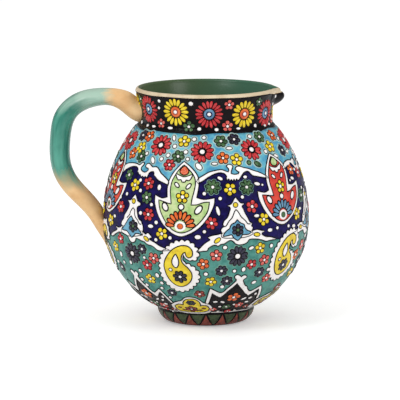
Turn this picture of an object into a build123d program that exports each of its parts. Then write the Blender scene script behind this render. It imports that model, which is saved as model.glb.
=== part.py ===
from build123d import *
import math
import os

# An enamelled terracotta pitcher: a thrown globe on a turned foot ring, a short flared neck with
# a pulled pouring beak, a pulled strap handle, and ornament of raised enamel laid on the outside.
# Millimetres, +Z up. The origin is the centre of the face that the foot rests on. The beak points
# along +X and the handle along -X. Angles round the jug run from the front (-Y) towards +X.

# Globe
globe_radius = 87.0
girth_height = 88.0
shoulder_height = 171.0
wall = 5.0
floor_radius = 20.0
floor_thickness = 6.0
underside_height = 6.0

# Foot ring
foot_radius = 40.0
foot_rest_radius = 28.0

# Neck and lip
neck_radius = 55.8
neck_straight = 5.0
lip_radius = 59.6
neck_height = 29.0

# Pouring beak, pulled out of the lip and down over its outside
beak_pull = 8.0
beak_drop = 1.6
beak_depth = 15.0
beak_width = 40.0

# Handle: its crest stands above the shoulder, and its tail ends below the girth
handle_crest_rise = 20.4
handle_tail_drop = 36.0
handle_standoff = 64.0
handle_thickness = 18.0
handle_width = 26.0

# Enamel: a first coat on the clay, and a second coat that stands on the first
first_coat = 0.6
second_coat = 0.4
stamp_depth = 14.0
surface_fit = 0.001

# Ornament of the neck and shoulder
rosette_radius = 11.0
rosette_bite = 1.4
rosette_eye_radius = 4.6
shoulder_rosette_radius = 7.4
shoulder_rosette_bite = 1.2

# Ornament of the globe
palmette_height = 60.0
palmette_border = 3.0
paisley_height = 36.0
paisley_halo = 3.6
ribbon_width = 2.6
scroll_height = 9.0
tent_height = 33.0
festoon_height = 11.0
arch_height = 21.0
cloud_height = 15.0
cloud_border = 2.0
cloud_rise = 9.4
flower_radius = 5.4
flower_bite = 2.0

# Widths of the ornament of the globe, as shares of the globe's radius
palmette_width_share = 0.586
paisley_width_share = 0.276
scroll_width_share = 0.575
tent_width_share = 0.299
festoon_width_share = 0.575
arch_width_share = 0.517
cloud_width_share = 0.437

# Ornament of the foot
tooth_height = 8.4
band_margin = 1.0

red_tooth_share = 0.70
green_tooth_share = 0.84

rosette_petals = 16
shoulder_petals = 11
flower_petals = 5
teeth = 18

# Angles of the ornament in degrees. The cells of the pattern aren't quite even.
red_rosette_angles = (2.7, 62.7, 122.7, 182.7, 242.7, 302.7)
yellow_rosette_angles = (32.7, 92.7, 152.7, 212.7, 332.7)
shoulder_rosette_angles = (-2.6, 33, 72, 109, 145, 181, 218, 289, 325.5)
green_palmette_angles = (-14.3, 107, 229)
red_palmette_angles = (47.5, 167, 291)
paisley_angles = (-16.5, 50, 108, 167, 228, 286)
cell_angles = (16.5, 77, 137, 198, 317.5)
arch_angles = (20, 79, 138, 198, 260, 320)
cloud_angles = (-11.5, 50, 109, 168, 229, 290)
belly_flower_angles = (9, 24, 70, 84, 130, 144, 190.5, 205, 325)
girth_flower_angles = (3, 33.5, 63, 90, 124, 152.5, 182, 211.5, 304.5)
lower_flower_angles = (3, 30, 65, 92, 123, 150, 182, 211, 244, 300, 327)

# Heights of the ornament, as shares of the shoulder's height
shoulder_rosette_share = 0.907
green_palmette_share = 0.677
red_palmette_share = 0.708
scroll_share = 0.803
tent_share = 0.595
belly_flower_share = 0.738
girth_flower_share = 0.567
festoon_share = 0.45
paisley_share = 0.352
lower_flower_share = 0.375
arch_share = 0.22

tent_field_share = 0.68

# The neck's rosettes stand at this share of the way from the shoulder to the lip
neck_rosette_share = 0.475

# Handle stations from the neck to the tail: height between tail and crest, standoff from the
# wall, thickness and width, as shares of the handle's sizes
handle_station_shares = [
    (0.925, -0.060, 1.25, 1.20),
    (0.963, 0.151, 0.98, 1.08),
    (1.000, 0.345, 0.82, 1.00),
    (0.997, 0.561, 0.84, 0.98),
    (0.960, 0.816, 0.92, 0.98),
    (0.874, 1.000, 0.98, 1.00),
    (0.766, 0.906, 0.97, 1.00),
    (0.642, 0.762, 0.95, 1.00),
    (0.537, 0.623, 0.93, 1.00),
    (0.450, 0.455, 0.90, 1.00),
    (0.370, 0.262, 0.86, 1.00),
    (0.280, 0.090, 0.80, 0.95),
    (0.180, 0.000, 0.60, 0.80),
    (0.070, -0.03, 0.36, 0.55),
]

# How far the lip is pulled out at each section of the beak, from one side to the other. The first
# and last sections are the plain neck's.
beak_pull_shares = (0.0, 0.10, 0.52, 1.0, 0.52, 0.10, 0.0)

# Outside of the beak's section: height above its base as a share of its depth, then how far the
# point moves out and down, as shares of the pull and the drop
beak_outside_shares = [(0.25, 0.72, 0.8), (0.55, 1.0, 1.0)]

# Rim of the beak's section: how far its outer edge, crown, inner edge and throat move out, and
# how far the rim sags
beak_edge_share = 0.45
beak_crown_share = 0.42
beak_inner_edge_share = 0.50
beak_throat_share = 0.35
beak_sag_share = 0.50

# Outlines of the ornament, as shares of its width and height, measured from its middle. The first
# row is the start point, and each row after it is an arc: a point on it, then its end.
palmette_half_shares = [
    (0.0, 0.50),
    (0.245, 0.24, 0.25, 0.03),
    (0.38, 0.01, 0.50, 0.04),
    (0.40, -0.28, 0.0, -0.50),
]
paisley_outline_shares = [
    (0.37, -0.20),
    (-0.06, -0.50, -0.49, -0.20),
    (-0.42, 0.17, 0.16, 0.50),
    (0.48, 0.38, 0.33, 0.22),
    (0.20, 0.30, 0.06, 0.24),
    (0.10, 0.05, 0.37, -0.20),
]
scroll_half_shares = [
    (-0.50, -0.50),
    (-0.38, 0.05, -0.20, 0.42),
    (-0.07, 0.44, 0.0, -0.50),
]
festoon_half_shares = [
    (-0.50, -0.45),
    (-0.40, 0.10, -0.22, 0.50),
    (-0.16, -0.20, 0.0, -0.40),
]
arch_half_shares = [
    (0.0, 0.50),
    (-0.09, 0.12, -0.25, -0.12),
    (-0.38, -0.06, -0.42, 0.22),
    (-0.49, -0.10, -0.50, -0.42),
    (-0.25, -0.48, 0.0, -0.50),
]
tent_half_shares = [
    (0.0, 0.50),
    (-0.125, 0.345, -0.30, 0.24),
    (-0.24, 0.02, -0.36, -0.20),
    (-0.46, -0.34, -0.50, -0.50),
    (-0.22, -0.30, 0.0, -0.22),
]
cloud_lobe_shares = [(-0.30, -0.05, 0.19), (0.0, 0.14, 0.22), (0.31, -0.08, 0.18)]


def tangent_radius(across, along):
    """The radius of an arc that leaves the vertical and moves this far across and along it."""
    return (across * across + along * along) / (2 * across)


upper_arc = tangent_radius(globe_radius - neck_radius, shoulder_height - girth_height)
lower_arc = tangent_radius(globe_radius - floor_radius, girth_height - underside_height)
jug_height = shoulder_height + neck_height
flare_start = shoulder_height + neck_straight
lip_height = jug_height - wall / 2
flare_arc = tangent_radius(lip_radius - neck_radius, lip_height - flare_start)
relief = first_coat + second_coat
palmette_width = palmette_width_share * globe_radius
paisley_width = paisley_width_share * globe_radius
scroll_width = scroll_width_share * globe_radius
tent_width = tent_width_share * globe_radius
festoon_width = festoon_width_share * globe_radius
arch_width = arch_width_share * globe_radius
cloud_width = cloud_width_share * globe_radius


def globe_arc(height):
    """The radius of the globe's profile at a height."""
    return upper_arc if height > girth_height else lower_arc


def globe_surface(height, rise=0):
    """The globe's outer radius at a height, with enamel of some rise on it."""
    arc = globe_arc(height)
    return globe_radius - arc + math.sqrt((arc + rise) ** 2 - (height - girth_height) ** 2)


def neck_surface(height, rise=0):
    """The neck's outer radius at a height, with enamel of some rise on it."""
    above = max(height - flare_start, 0)
    return neck_radius + flare_arc - math.sqrt((flare_arc - rise) ** 2 - above**2)


def wall_surface(height):
    """The outer radius of the globe or neck at a height."""
    return globe_surface(height) if height <= shoulder_height else neck_surface(height)


def wall_slope(height):
    """How far the outer wall faces up at a height, in degrees."""
    if height <= shoulder_height:
        return math.degrees(math.asin((height - girth_height) / globe_arc(height)))
    return -math.degrees(math.asin(max(height - flare_start, 0) / flare_arc))


def foot_joint_height():
    """The height at which the foot ring's outside meets the globe."""
    across = foot_radius - (globe_radius - lower_arc)
    return girth_height - math.sqrt(lower_arc**2 - across**2)


def foot_rounding():
    """The radius of the foot ring's rounded outside."""
    return tangent_radius(foot_joint_height(), foot_radius - foot_rest_radius)


def arc_about(start, end, centre):
    """The arc round a centre from one point of a profile to another, the short way."""
    a = Vector(*start) - Vector(*centre)
    b = Vector(*end) - Vector(*centre)
    middle = Vector(*centre) + (a + b).normalized() * a.length
    return ThreePointArc(start, middle, end)


def turn(profile):
    """The solid of revolution of a closed profile, whose points are (radius, height)."""
    return revolve(Plane.XZ * make_face(profile), Axis.Z)


def globe_wall(low, high, rise=0):
    """The globe's outer profile from one height up to another, as two arcs that meet at the girth."""
    foot = (globe_surface(low, rise), low)
    girth = (globe_radius + rise, girth_height)
    top = (globe_surface(high, rise), high)
    lower = arc_about(foot, girth, (globe_radius - lower_arc, girth_height))
    upper = arc_about(girth, top, (globe_radius - upper_arc, girth_height))
    return lower, upper


def neck_wall(high, rise=0):
    """The neck's outer profile from the shoulder up to a height: straight, then flared."""
    start = (neck_radius + rise, flare_start)
    straight = Line((neck_radius + rise, shoulder_height), start)
    top = (neck_surface(high, rise), high)
    return straight, arc_about(start, top, (neck_radius + flare_arc, flare_start))


def make_globe():
    """The thrown globe: outside, flat underside, inside and flat floor."""
    lower, upper = globe_wall(underside_height, shoulder_height)
    inner_girth = (globe_radius - wall, girth_height)
    inner_top = (neck_radius - wall, shoulder_height)
    floor_height = underside_height + floor_thickness
    floor_edge = (floor_radius, floor_height)
    inner_lower_arc = tangent_radius(globe_radius - wall - floor_radius, girth_height - floor_height)
    inner_upper = arc_about(inner_top, inner_girth, (globe_radius - wall - upper_arc, girth_height))
    inner_lower = arc_about(
        inner_girth, floor_edge, (globe_radius - wall - inner_lower_arc, girth_height)
    )
    underside = Line((0, underside_height), lower @ 0)
    rim = Line(upper @ 1, inner_top)
    floor = Line(floor_edge, (0, floor_height))
    axis = Line((0, floor_height), (0, underside_height))
    return turn([underside, lower, upper, rim, inner_upper, inner_lower, floor, axis])


def make_foot_ring():
    """The foot: a ring with a rounded outside, turned to sit under the globe."""
    joint = (foot_radius, foot_joint_height())
    hollow = (floor_radius, underside_height)
    rounding = foot_rounding()
    seat = arc_about(joint, hollow, (globe_radius - lower_arc, girth_height))
    inside = Line(hollow, (floor_radius, 0))
    rest = Line((floor_radius, 0), (foot_rest_radius, 0))
    outside = arc_about((foot_rest_radius, 0), joint, (foot_rest_radius, rounding))
    return turn([seat, inside, rest, outside])


def beak_base():
    """The height at which the beak starts to swell out of the neck."""
    return jug_height - beak_depth


def beak_half_angle():
    """Half the angle that the beak takes up round the neck, in degrees."""
    return math.degrees(math.asin(beak_width / 2 / lip_radius))


def beak_walls(pull):
    """The outside, rim and inside of the neck's wall above the beak's base, at a share of pull."""
    base, out, sag = beak_base(), pull * beak_pull, pull * beak_sag_share * beak_drop
    start = (neck_surface(base), base)
    edge = (lip_radius + beak_edge_share * out, lip_height - sag)
    crown = (lip_radius - wall / 2 + beak_crown_share * out, jug_height - sag)
    inner_edge = (lip_radius - wall + beak_inner_edge_share * out, lip_height - sag)
    end = (neck_surface(base) - wall, base)
    rim = ThreePointArc(edge, crown, inner_edge)
    if not pull:
        centre = (neck_radius + flare_arc, flare_start)
        inner_centre = (neck_radius - wall + flare_arc, flare_start)
        return arc_about(start, edge, centre), rim, arc_about(inner_edge, end, inner_centre)
    outside = [start]
    for height_share, out_share, drop_share in beak_outside_shares:
        height = base + height_share * beak_depth
        drop = pull * drop_share * beak_drop
        outside.append((neck_surface(height) + out_share * out, height - drop))
    throat = (neck_surface(height) - wall + beak_throat_share * out, height)
    return Spline(outside + [edge]), rim, Spline([inner_edge, throat, end])


def neck_section(pull):
    """The closed section of the neck's wall from the shoulder to the lip, at a share of pull."""
    outside, rim, inside = beak_walls(pull)
    inner_radius = neck_radius - wall
    low_flare = arc_about(
        (neck_radius, flare_start), outside @ 0, (neck_radius + flare_arc, flare_start)
    )
    low_throat = arc_about(
        inside @ 1, (inner_radius, flare_start), (inner_radius + flare_arc, flare_start)
    )
    straight = Line((neck_radius, shoulder_height), low_flare @ 0)
    inner_straight = Line(low_throat @ 1, (inner_radius, shoulder_height))
    base = Line(inner_straight @ 1, straight @ 0)
    edges = [straight, low_flare, outside, rim, inside, low_throat, inner_straight, base]
    return Plane.XZ * make_face(edges)


def make_neck():
    """The neck with its rounded lip: turned all the way round but for the beak, which is lofted."""
    half = beak_half_angle()
    turned = revolve(Rot(0, 0, half) * neck_section(0), Axis.Z, 360 - 2 * half)
    return turned + make_beak()


def make_beak():
    """The beak's part of the neck: a loft through sections of the wall, pulled most in the middle."""
    half = beak_half_angle()
    steps = len(beak_pull_shares) - 1
    sections = [
        Rot(0, 0, half * (2 * number / steps - 1)) * neck_section(pull)
        for number, pull in enumerate(beak_pull_shares)
    ]
    return loft(sections)


def handle_stations():
    """The centre, thickness and width of the handle's sections, from the neck to the tail."""
    tail = girth_height - handle_tail_drop
    span = shoulder_height + handle_crest_rise - tail
    rows = []
    for height_share, standoff_share, thickness_share, width_share in handle_station_shares:
        height = tail + height_share * span
        reach = wall_surface(height) + standoff_share * handle_standoff
        size = (thickness_share * handle_thickness, width_share * handle_width)
        rows.append((Vector(-reach, 0, height), *size))
    return rows


def make_handle(body):
    """The pulled handle: a loft through oval sections, cut to sit on the neck and the globe."""
    stations = handle_stations()
    spine = Spline([centre for centre, _, _ in stations])
    sections = []
    for centre, thickness, width in stations:
        along = spine.tangent_at(spine.param_at_point(centre))
        plane = Plane(origin=centre, x_dir=(0, 1, 0), z_dir=along)
        sections.append(plane * Ellipse(width / 2, thickness / 2))
    return loft(sections) - body


def outside_filled():
    """The globe and neck without their hollow, which trims what sits on them."""
    lower, upper = globe_wall(underside_height, shoulder_height)
    straight, flare = neck_wall(lip_height)
    underside = Line((0, underside_height), lower @ 0)
    top = Line(flare @ 1, (0, lip_height))
    axis = Line((0, lip_height), (0, underside_height))
    return turn([underside, lower, upper, straight, flare, top, axis])


def globe_coat(low_rise, high_rise):
    """A coat over the whole globe between two rises, from which the ornament is stamped."""
    low = underside_height
    inner_lower, inner_upper = globe_wall(low, shoulder_height, low_rise)
    outer_lower, outer_upper = globe_wall(low, shoulder_height, high_rise)
    bottom = Line(inner_lower @ 0, outer_lower @ 0)
    top = Line(outer_upper @ 1, inner_upper @ 1)
    profile = [inner_lower, inner_upper, top, outer_upper, outer_lower, bottom]
    return turn(profile)


def neck_coat(low_rise, high_rise):
    """The same over the neck."""
    inner_straight, inner_flare = neck_wall(lip_height, low_rise)
    outer_straight, outer_flare = neck_wall(lip_height, high_rise)
    bottom = Line(inner_straight @ 0, outer_straight @ 0)
    top = Line(outer_flare @ 1, inner_flare @ 1)
    profile = [inner_straight, inner_flare, top, outer_flare, outer_straight, bottom]
    return turn(profile)


def stamp(shape, height, coat):
    """A flat shape pressed through a coat at the front of the jug, square to the wall there."""
    slope = math.radians(wall_slope(height))
    origin = (0, -wall_surface(height), height)
    plane = Plane(origin=origin, x_dir=(1, 0, 0), z_dir=(0, -math.cos(slope), math.sin(slope)))
    prism = extrude(plane * shape, stamp_depth, both=True)
    return (prism & coat).solids()


def around(solids, angles):
    """Copies of solids made at the front, at each of some angles."""
    return [Rot(0, 0, angle) * solid for angle in angles for solid in solids]


def clear_of(obstacle, solids):
    """The solids, each cut back where an obstacle stands in its place."""
    near = obstacle.bounding_box()
    trimmed = []
    for solid in solids:
        meets = solid.bounding_box().overlaps(near)
        trimmed += (solid - obstacle).solids() if meets else [solid]
    return trimmed


def scalloped(radius, bite, petals):
    """A flower's outline: one arc for each petal, with notches between them."""
    points = PolarLocations(radius - bite, petals)
    notches = [location.position for location in points]
    edges = []
    for start, end in zip(notches, notches[1:] + notches[:1]):
        crown = (start + end).normalized() * radius
        edges.append(ThreePointArc(start, crown, end))
    return make_face(edges)


def arcs_through(shares, width, height):
    """A chain of arcs from shares: a start point, then each arc's middle and end."""
    start = (shares[0][0] * width, shares[0][1] * height)
    edges = []
    for u_share, v_share, end_u_share, end_v_share in shares[1:]:
        end = (end_u_share * width, end_v_share * height)
        edges.append(ThreePointArc(start, (u_share * width, v_share * height), end))
        start = end
    return edges


def mirrored(half_shares, width, height):
    """A chain of arcs and its mirror image, which meet on the middle line."""
    half = arcs_through(half_shares, width, height)
    return half + [mirror(edge, Plane.YZ) for edge in half]


def palmette(grow):
    """The palmette's outline, grown or shrunk by a margin."""
    leaf = make_face(mirrored(palmette_half_shares, palmette_width, palmette_height))
    return offset(leaf, grow) if grow else leaf


def paisley(grow):
    """The paisley's outline, grown or shrunk by a margin."""
    drop = make_face(arcs_through(paisley_outline_shares, paisley_width, paisley_height))
    return offset(drop, grow) if grow else drop


def ribbon(half_shares, width, height):
    """A mirrored ribbon of even width along a chain of arcs."""
    return trace([arc.edge() for arc in mirrored(half_shares, width, height)], ribbon_width)


def tent(size_share):
    """The outline of the tent between two palmettes, at a share of its full size."""
    return make_face(mirrored(tent_half_shares, size_share * tent_width, size_share * tent_height))


def cloud(grow):
    """Three joined lobes, grown or shrunk by a margin."""
    lobes = [
        Pos(u_share * cloud_width, v_share * cloud_height) * Circle(radius_share * cloud_width + grow)
        for u_share, v_share, radius_share in cloud_lobe_shares
    ]
    return Sketch() + lobes


def foot_surface(height, rise):
    """The foot ring's outer radius at a height, with enamel of some rise on it."""
    rounding = foot_rounding()
    return foot_rest_radius + math.sqrt((rounding + rise) ** 2 - (rounding - height) ** 2)


def foot_coat():
    """A coat round the outside of the foot ring, between the two edges of its band."""
    centre = (foot_rest_radius, foot_rounding())
    low, high = band_margin, foot_joint_height() - band_margin
    inner, outer = [
        arc_about((foot_surface(low, rise), low), (foot_surface(high, rise), high), centre)
        for rise in (0, first_coat)
    ]
    return turn([inner, Line(inner @ 1, outer @ 1), outer, Line(outer @ 0, inner @ 0)])


def foot_teeth(point_up):
    """One tooth of the band of triangles round the foot, with its point up or down."""
    height = foot_joint_height() / 2
    lean = math.asin((foot_rounding() - height) / foot_rounding())
    reach = foot_surface(height, 0)
    pitch = 2 * math.pi * foot_radius / teeth
    width_share, way = (red_tooth_share, 1) if point_up else (green_tooth_share, -1)
    half = width_share * pitch / 2
    low, tip = -way * tooth_height / 2, way * tooth_height / 2
    triangle = make_face(Polyline((-half, low), (half, low), (0, tip), close=True))
    normal = (0, -math.cos(lean), -math.sin(lean))
    plane = Plane(origin=(0, -reach, height), x_dir=(1, 0, 0), z_dir=normal)
    prism = extrude(plane * triangle, foot_radius - foot_rest_radius, both=True)
    return (prism & foot_coat()).solids()


def make_clay():
    """The clay pieces, by node name."""
    body = outside_filled()
    neck = make_neck()
    return {
        "globe": make_globe(),
        "foot_ring": make_foot_ring(),
        "neck_and_beak": neck,
        "handle": make_handle(body) - neck,
    }


def make_neck_ornament():
    """The rosettes round the neck: a scalloped first coat with a raised eye on it.

    The ones beside the beak are trimmed where it swells over them.
    """
    beak = split(make_beak(), Plane.XY.offset(beak_base()), Keep.TOP)
    height = shoulder_height + neck_rosette_share * (jug_height - shoulder_height)
    outline = scalloped(rosette_radius, rosette_bite, rosette_petals)
    flower = stamp(outline, height, neck_coat(0, first_coat))
    eye = stamp(Circle(rosette_eye_radius), height, neck_coat(first_coat, relief))
    return {
        "neck_rosettes_red": clear_of(beak, around(flower, red_rosette_angles)),
        "neck_rosettes_yellow": clear_of(beak, around(flower, yellow_rosette_angles)),
        "neck_rosette_eyes": clear_of(beak, around(eye, red_rosette_angles + yellow_rosette_angles)),
    }


def make_globe_ornament():
    """The raised enamel on the globe, belt by belt."""
    ground = globe_coat(0, first_coat)
    top = globe_coat(first_coat, relief)
    full = globe_coat(0, relief).to_splines(tolerance=surface_fit)

    def laid(shape, height_share, coat, angles):
        return around(stamp(shape, height_share * shoulder_height, coat), angles)

    def clouds(shape, coat):
        return around(stamp(shape, foot_joint_height() + cloud_rise, coat), cloud_angles)

    rosette = scalloped(shoulder_rosette_radius, shoulder_rosette_bite, shoulder_petals)
    flower = scalloped(flower_radius, flower_bite, flower_petals)
    frame, field = palmette(0), palmette(-palmette_border)
    green = (green_palmette_share, green_palmette_angles)
    red = (red_palmette_share, red_palmette_angles)
    frames = []
    for share, angles in (green, red):
        frames += laid(frame, share, ground, angles)
    scroll = ribbon(scroll_half_shares, scroll_width, scroll_height)
    festoon = ribbon(festoon_half_shares, festoon_width, festoon_height)
    arch = make_face(mirrored(arch_half_shares, arch_width, arch_height))
    flowers = laid(flower, belly_flower_share, full, belly_flower_angles)
    flowers += laid(flower, girth_flower_share, full, girth_flower_angles)
    return {
        "shoulder_rosettes": laid(rosette, shoulder_rosette_share, full, shoulder_rosette_angles),
        "palmette_frames": frames,
        "palmette_fields_green": laid(field, green[0], top, green[1]),
        "palmette_fields_red": laid(field, red[0], top, red[1]),
        "upper_scrolls": laid(scroll, scroll_share, ground, cell_angles),
        "tent_frames": laid(tent(1), tent_share, ground, cell_angles),
        "tent_fields": laid(tent(tent_field_share), tent_share, top, cell_angles),
        "lower_festoons": laid(festoon, festoon_share, ground, cell_angles),
        "paisley_halos": laid(paisley(paisley_halo), paisley_share, ground, paisley_angles),
        "paisleys": laid(paisley(0), paisley_share, top, paisley_angles),
        "belly_flowers": flowers,
        "lower_flowers": laid(flower, lower_flower_share, full, lower_flower_angles),
        "base_arches": laid(arch, arch_share, ground, arch_angles),
        "cloud_frames": clouds(cloud(0), ground),
        "cloud_fields": clouds(cloud(-cloud_border), top),
    }


def make_foot_ornament():
    """The band of red and green teeth round the foot."""
    steps = [360 * step / teeth for step in range(teeth)]
    between = [angle + 180 / teeth for angle in steps]
    return {
        "foot_teeth_red": around(foot_teeth(True), steps),
        "foot_teeth_green": around(foot_teeth(False), between),
    }


def main():
    """Builds every piece and writes each node to its own file."""
    os.makedirs("parts", exist_ok=True)
    nodes = make_clay()
    nodes.update(make_neck_ornament())
    nodes.update(make_globe_ornament())
    nodes.update(make_foot_ornament())
    for name, solids in nodes.items():
        shape = Compound(solids) if isinstance(solids, list) else solids
        print(name, len(shape.solids()), round(shape.volume), shape.is_valid)
        export_step(shape, f"parts/{name}.step")


main()
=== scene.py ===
import bpy
import bisect
import math
import random
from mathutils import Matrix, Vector
from mathutils.bvhtree import BVHTree
from mathutils.geometry import delaunay_2d_cdt


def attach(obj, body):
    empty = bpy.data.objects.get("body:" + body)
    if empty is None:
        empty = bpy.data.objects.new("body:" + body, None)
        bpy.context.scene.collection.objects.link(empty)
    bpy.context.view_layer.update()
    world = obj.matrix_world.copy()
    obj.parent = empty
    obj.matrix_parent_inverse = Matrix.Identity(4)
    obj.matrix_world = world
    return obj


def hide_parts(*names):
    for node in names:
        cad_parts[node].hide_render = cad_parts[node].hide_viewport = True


# An enamelled terracotta pitcher. The enamel is laid stroke by stroke on the clay: skins of ground
# colour, white borders with black outlines, and domed petals and dots, each on a dark plate.
# Places on the jug are an angle in degrees from the front (-Y) towards the beak (+X), and a height
# in millimetres. Sizes are in millimetres and turned to metres when a mesh is made.

MM = 0.001

# The clay's profile
GLOBE_R = 87.0
GIRTH_Z = 88.0
SHOULDER_Z = 171.0
NECK_R = 55.8
FLARE_Z = 176.0
LIP_R = 59.6
LIP_Z = 197.5
FLOOR_R = 20.0
UNDERSIDE_Z = 6.0
REST_R = 28.0
JOINT_Z = 12.83
ROUNDING = 12.86

# Steps of the tables that the surface is read from
TABLE_STEP = 0.25
TABLE_TOP = 199.0
CORNER_BLUR = 1.2
CORNER_REACH = 2.5
BLUR_STEPS = 4
ANGLE_STEP = 0.5

# The swell of the beak, read from its solid
SWELL_FROM = 64.0
SWELL_TO = 116.0
SWELL_STEP = 2.0
SWELL_LOW = 184.0
SWELL_HIGH = 196.0
BEAK_CLEAR = 1.0
RAY_START = 95.0

# Levels over the clay, on which strokes start, and their tops
SKIN_LOW = 0.02
ON_CLAY = 0.1
OVER_CLAY = 0.12
ON_GROUND = 0.25
ON_WHITE = 0.35
ON_TENT = 0.4
ON_BAND = 0.5
ON_FIELD = 0.6
ON_STAR = 0.62
ON_LEAF = 0.66
SKIN_TOP = 0.2
JOINT_TOP = 0.42
TOOTH_TOP = 0.5
WHITE_TOP = 0.55
LINE_TOP = 0.6
TENT_TOP = 0.6
FIELD_TOP = 0.75
STAR_TOP = 0.78
CHEVRON_TOP = 0.86
PETAL_TOP = 0.88
DOT_TOP = 0.92
MARK_TOP = 0.95

# Strokes
LINE_HALF = 0.6
LINE_SHARES = ((-1.0, 0.0), (-0.6, 0.75), (0.0, 1.0), (0.6, 0.75), (1.0, 0.0))
RIM_OUT = 0.2
RIM_TALL = 0.58
PLATE_MARGIN = 0.75
PLATE_DEPTH = 0.2
PLATE_RISE = 0.2
HALO_MARGINS = {"pale_plates": 1.8, "grey_plates": 1.3}
PALE_DROP = 0.12
DOME_SHARES = ((1.0, 0.0), (0.95, 0.5), (0.72, 0.86))
PLATE_SHARES = ((1.0, 0.0), (0.97, 0.75), (0.86, 1.0))
BEAD_SIDES = 12
STROKE_STEP = 1.2
GRID_STEP = 3.6
GRID_CLEAR_SHARE = 1 / 3
WIDE_EDGE = 0.7
ARCH_EDGE_WIDTH = 0.6
FIELD_EDGE = 0.5
FINE_EDGE = 0.4
EDGE_BEND_SHARE = 0.15
EDGE_LIFT_SHARE = 0.6
SKIN_COLUMNS = 360
SKIN_ROW = 3.0
NECK_ROW = 1.5
FOOT_ROW = 0.8

# Flowers: the share of the radius that the heart takes, by the most petals that it goes with
HEART_SHARES = ((6, 0.3), (8, 0.24), (12, 0.36))
HEART_PLATE_SHARE = 0.6
PETAL_SHARE = 0.9
PETAL_TAPER = 0.12
PETAL_SWING = 4
LENGTH_SHARES = (0.95, 1.03)
WIDTH_SHARES = (0.95, 1.02)
EYE_SHARE = 1 / 4
BELLY_EYE = 1.3
LOWER_EYE = 1.2
STAR_TWIST = 18

# The neck's rosettes: petals and their half width, then discs with their radius, levels and sides
ROSETTE_RADIUS = 11.8
ROSETTE_HEART = 5.2
ROSETTE_SWING = 2
ROSETTE_SHIFT = 0.2
ROSETTE_TAPER = 0.2
ROSETTE_TOP = 0.87
RED_PETALS = (18, 1.25)
YELLOW_PETALS = (16, 1.42)
DISCS = ((4.6, 0.1, 0.6, 20), (3.0, 0.2, 0.75, 16), (1.8, 0.3, 0.92, 12))

# Ripples of the skins' edges: a height, then the size and number of the waves round the jug
NECK_FOOT = (167.2, (0.5, 7), (0.3, 13))
NECK_TOP = (197.3, (0.15, 9))
JOINT_LINE = (13.3, (0.25, 5), (0.15, 11))
JOINT_WIDTH = 0.8
BEAK_ANGLE = 90
BEAK_HALF = 26
BEAK_DROP = 1.8
BASE_FOOT = 13.1
FOOT_LOW = 0.6
FOOT_TOP = 13.0

# The palmette as it is drawn, and its fan
LEAF_FOOT = 85.6
LEAF_MIDDLE = 115
LEAF_FLOWER = (-13.4, 118)
LEAF_FLOWER_RADIUS = 5.4
LEAF_EYE = 1.6
FAN_PLACE = (-14.2, 93.6)
FAN_PETALS = 9
FAN_START = 8
FAN_SWEEP = 164
FAN_REACH = 9.6
FAN_DROOP = 0.8
FAN_PETAL = (3.9, 1.45)
FAN_TAPER = 0.3
FAN_RISE = 0.4

# The tents and the borders between the palmettes
TENT_MIDDLE = 16.8
LEFT_TENT_MIDDLE = -44.6
TENT_CHART = 100
TENT_DOT = (-0.2, 111.4, 1.8)
TENT_FLOWER = (0.7, 90.8, 5.0)
TENT_EYE = 1.4
TENT_TWIST = 30
BAND_MIDDLE = 17
LEFT_BAND_MIDDLE = -44
BAND_CHART = 110
BAND_DOTS = ((6.2, 82.6, 2.9, 1.4, 40), (28.9, 86, 2.8, 1.4, -8))
LEFT_BAND_DOT = (-34.7, 81.6, 2.6, 1.4, -35)

# The paisley as it is drawn, and its scallops
PAISLEY_MIDDLE = 60
PAISLEY_DOT = (-21.2, 56.5)
PAISLEY_FLOWER = (-15.9, 50.4)
PAISLEY_FLOWER_RADIUS = 6.0
PAISLEY_DOT_RADIUS = 1.3
PAISLEY_EYE = 1.4
PAISLEY_TWIST = 20
SCALLOP_PITCH = 4.7
SCALLOP_RISE = 1.8
SCALLOP_STEPS = 6
NOTCH_REACH = 5.0

# The large flowers of the teal belt, and the length let off a dot that has to clear the arches
BIG_FLOWER = (17, 68.4, 8.8, 12)
BIG_EYE = 2.2
LEFT_BIG_FLOWER = (-46.6, 67, 8.8, 12)
LEFT_BIG_EYE = 2.0
DOT_LET_OFF = 1

# Bends of single outlines, which grow from one angle over a stretch
BEND_FROM = 24
BEND_OVER = 8
RIGHT_RISE = 4.5
LEFT_ARCH = 308
LEFT_SAG = 2.4

# The base
ARCH_MIDDLE = 20
ARCH_CHART = 36
ARCH_CLEAR = 0.6
ARCH_REACH = 3
CLOUD_MIDDLE = -13
CLOUD_CHART = 22
CLOUD_FLOWERS = ((-13.8, 18.4, 5.4, 1.2, 90), (-12.4, 25.2, 3.8, 1.0, 0))
CLOUD_MARKS = (
    (-24.8, 19.8, 1.5, 0.8, 20), (-21.6, 17.4, 1.5, 0.8, -30), (-5.4, 17.4, 1.5, 0.8, 30),
    (-1.8, 19.4, 1.5, 0.8, -20),
)
TEETH = 18
TEETH_CHART = 6
RED_TOOTH = ((-8.8, 1.6, 1), (8.8, 1.6, 1), (0, 11.2, 1))
GREEN_TOOTH = ((2.2, 11.3, 1), (17.8, 11.3, 1), (10, 2, 1))

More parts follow.
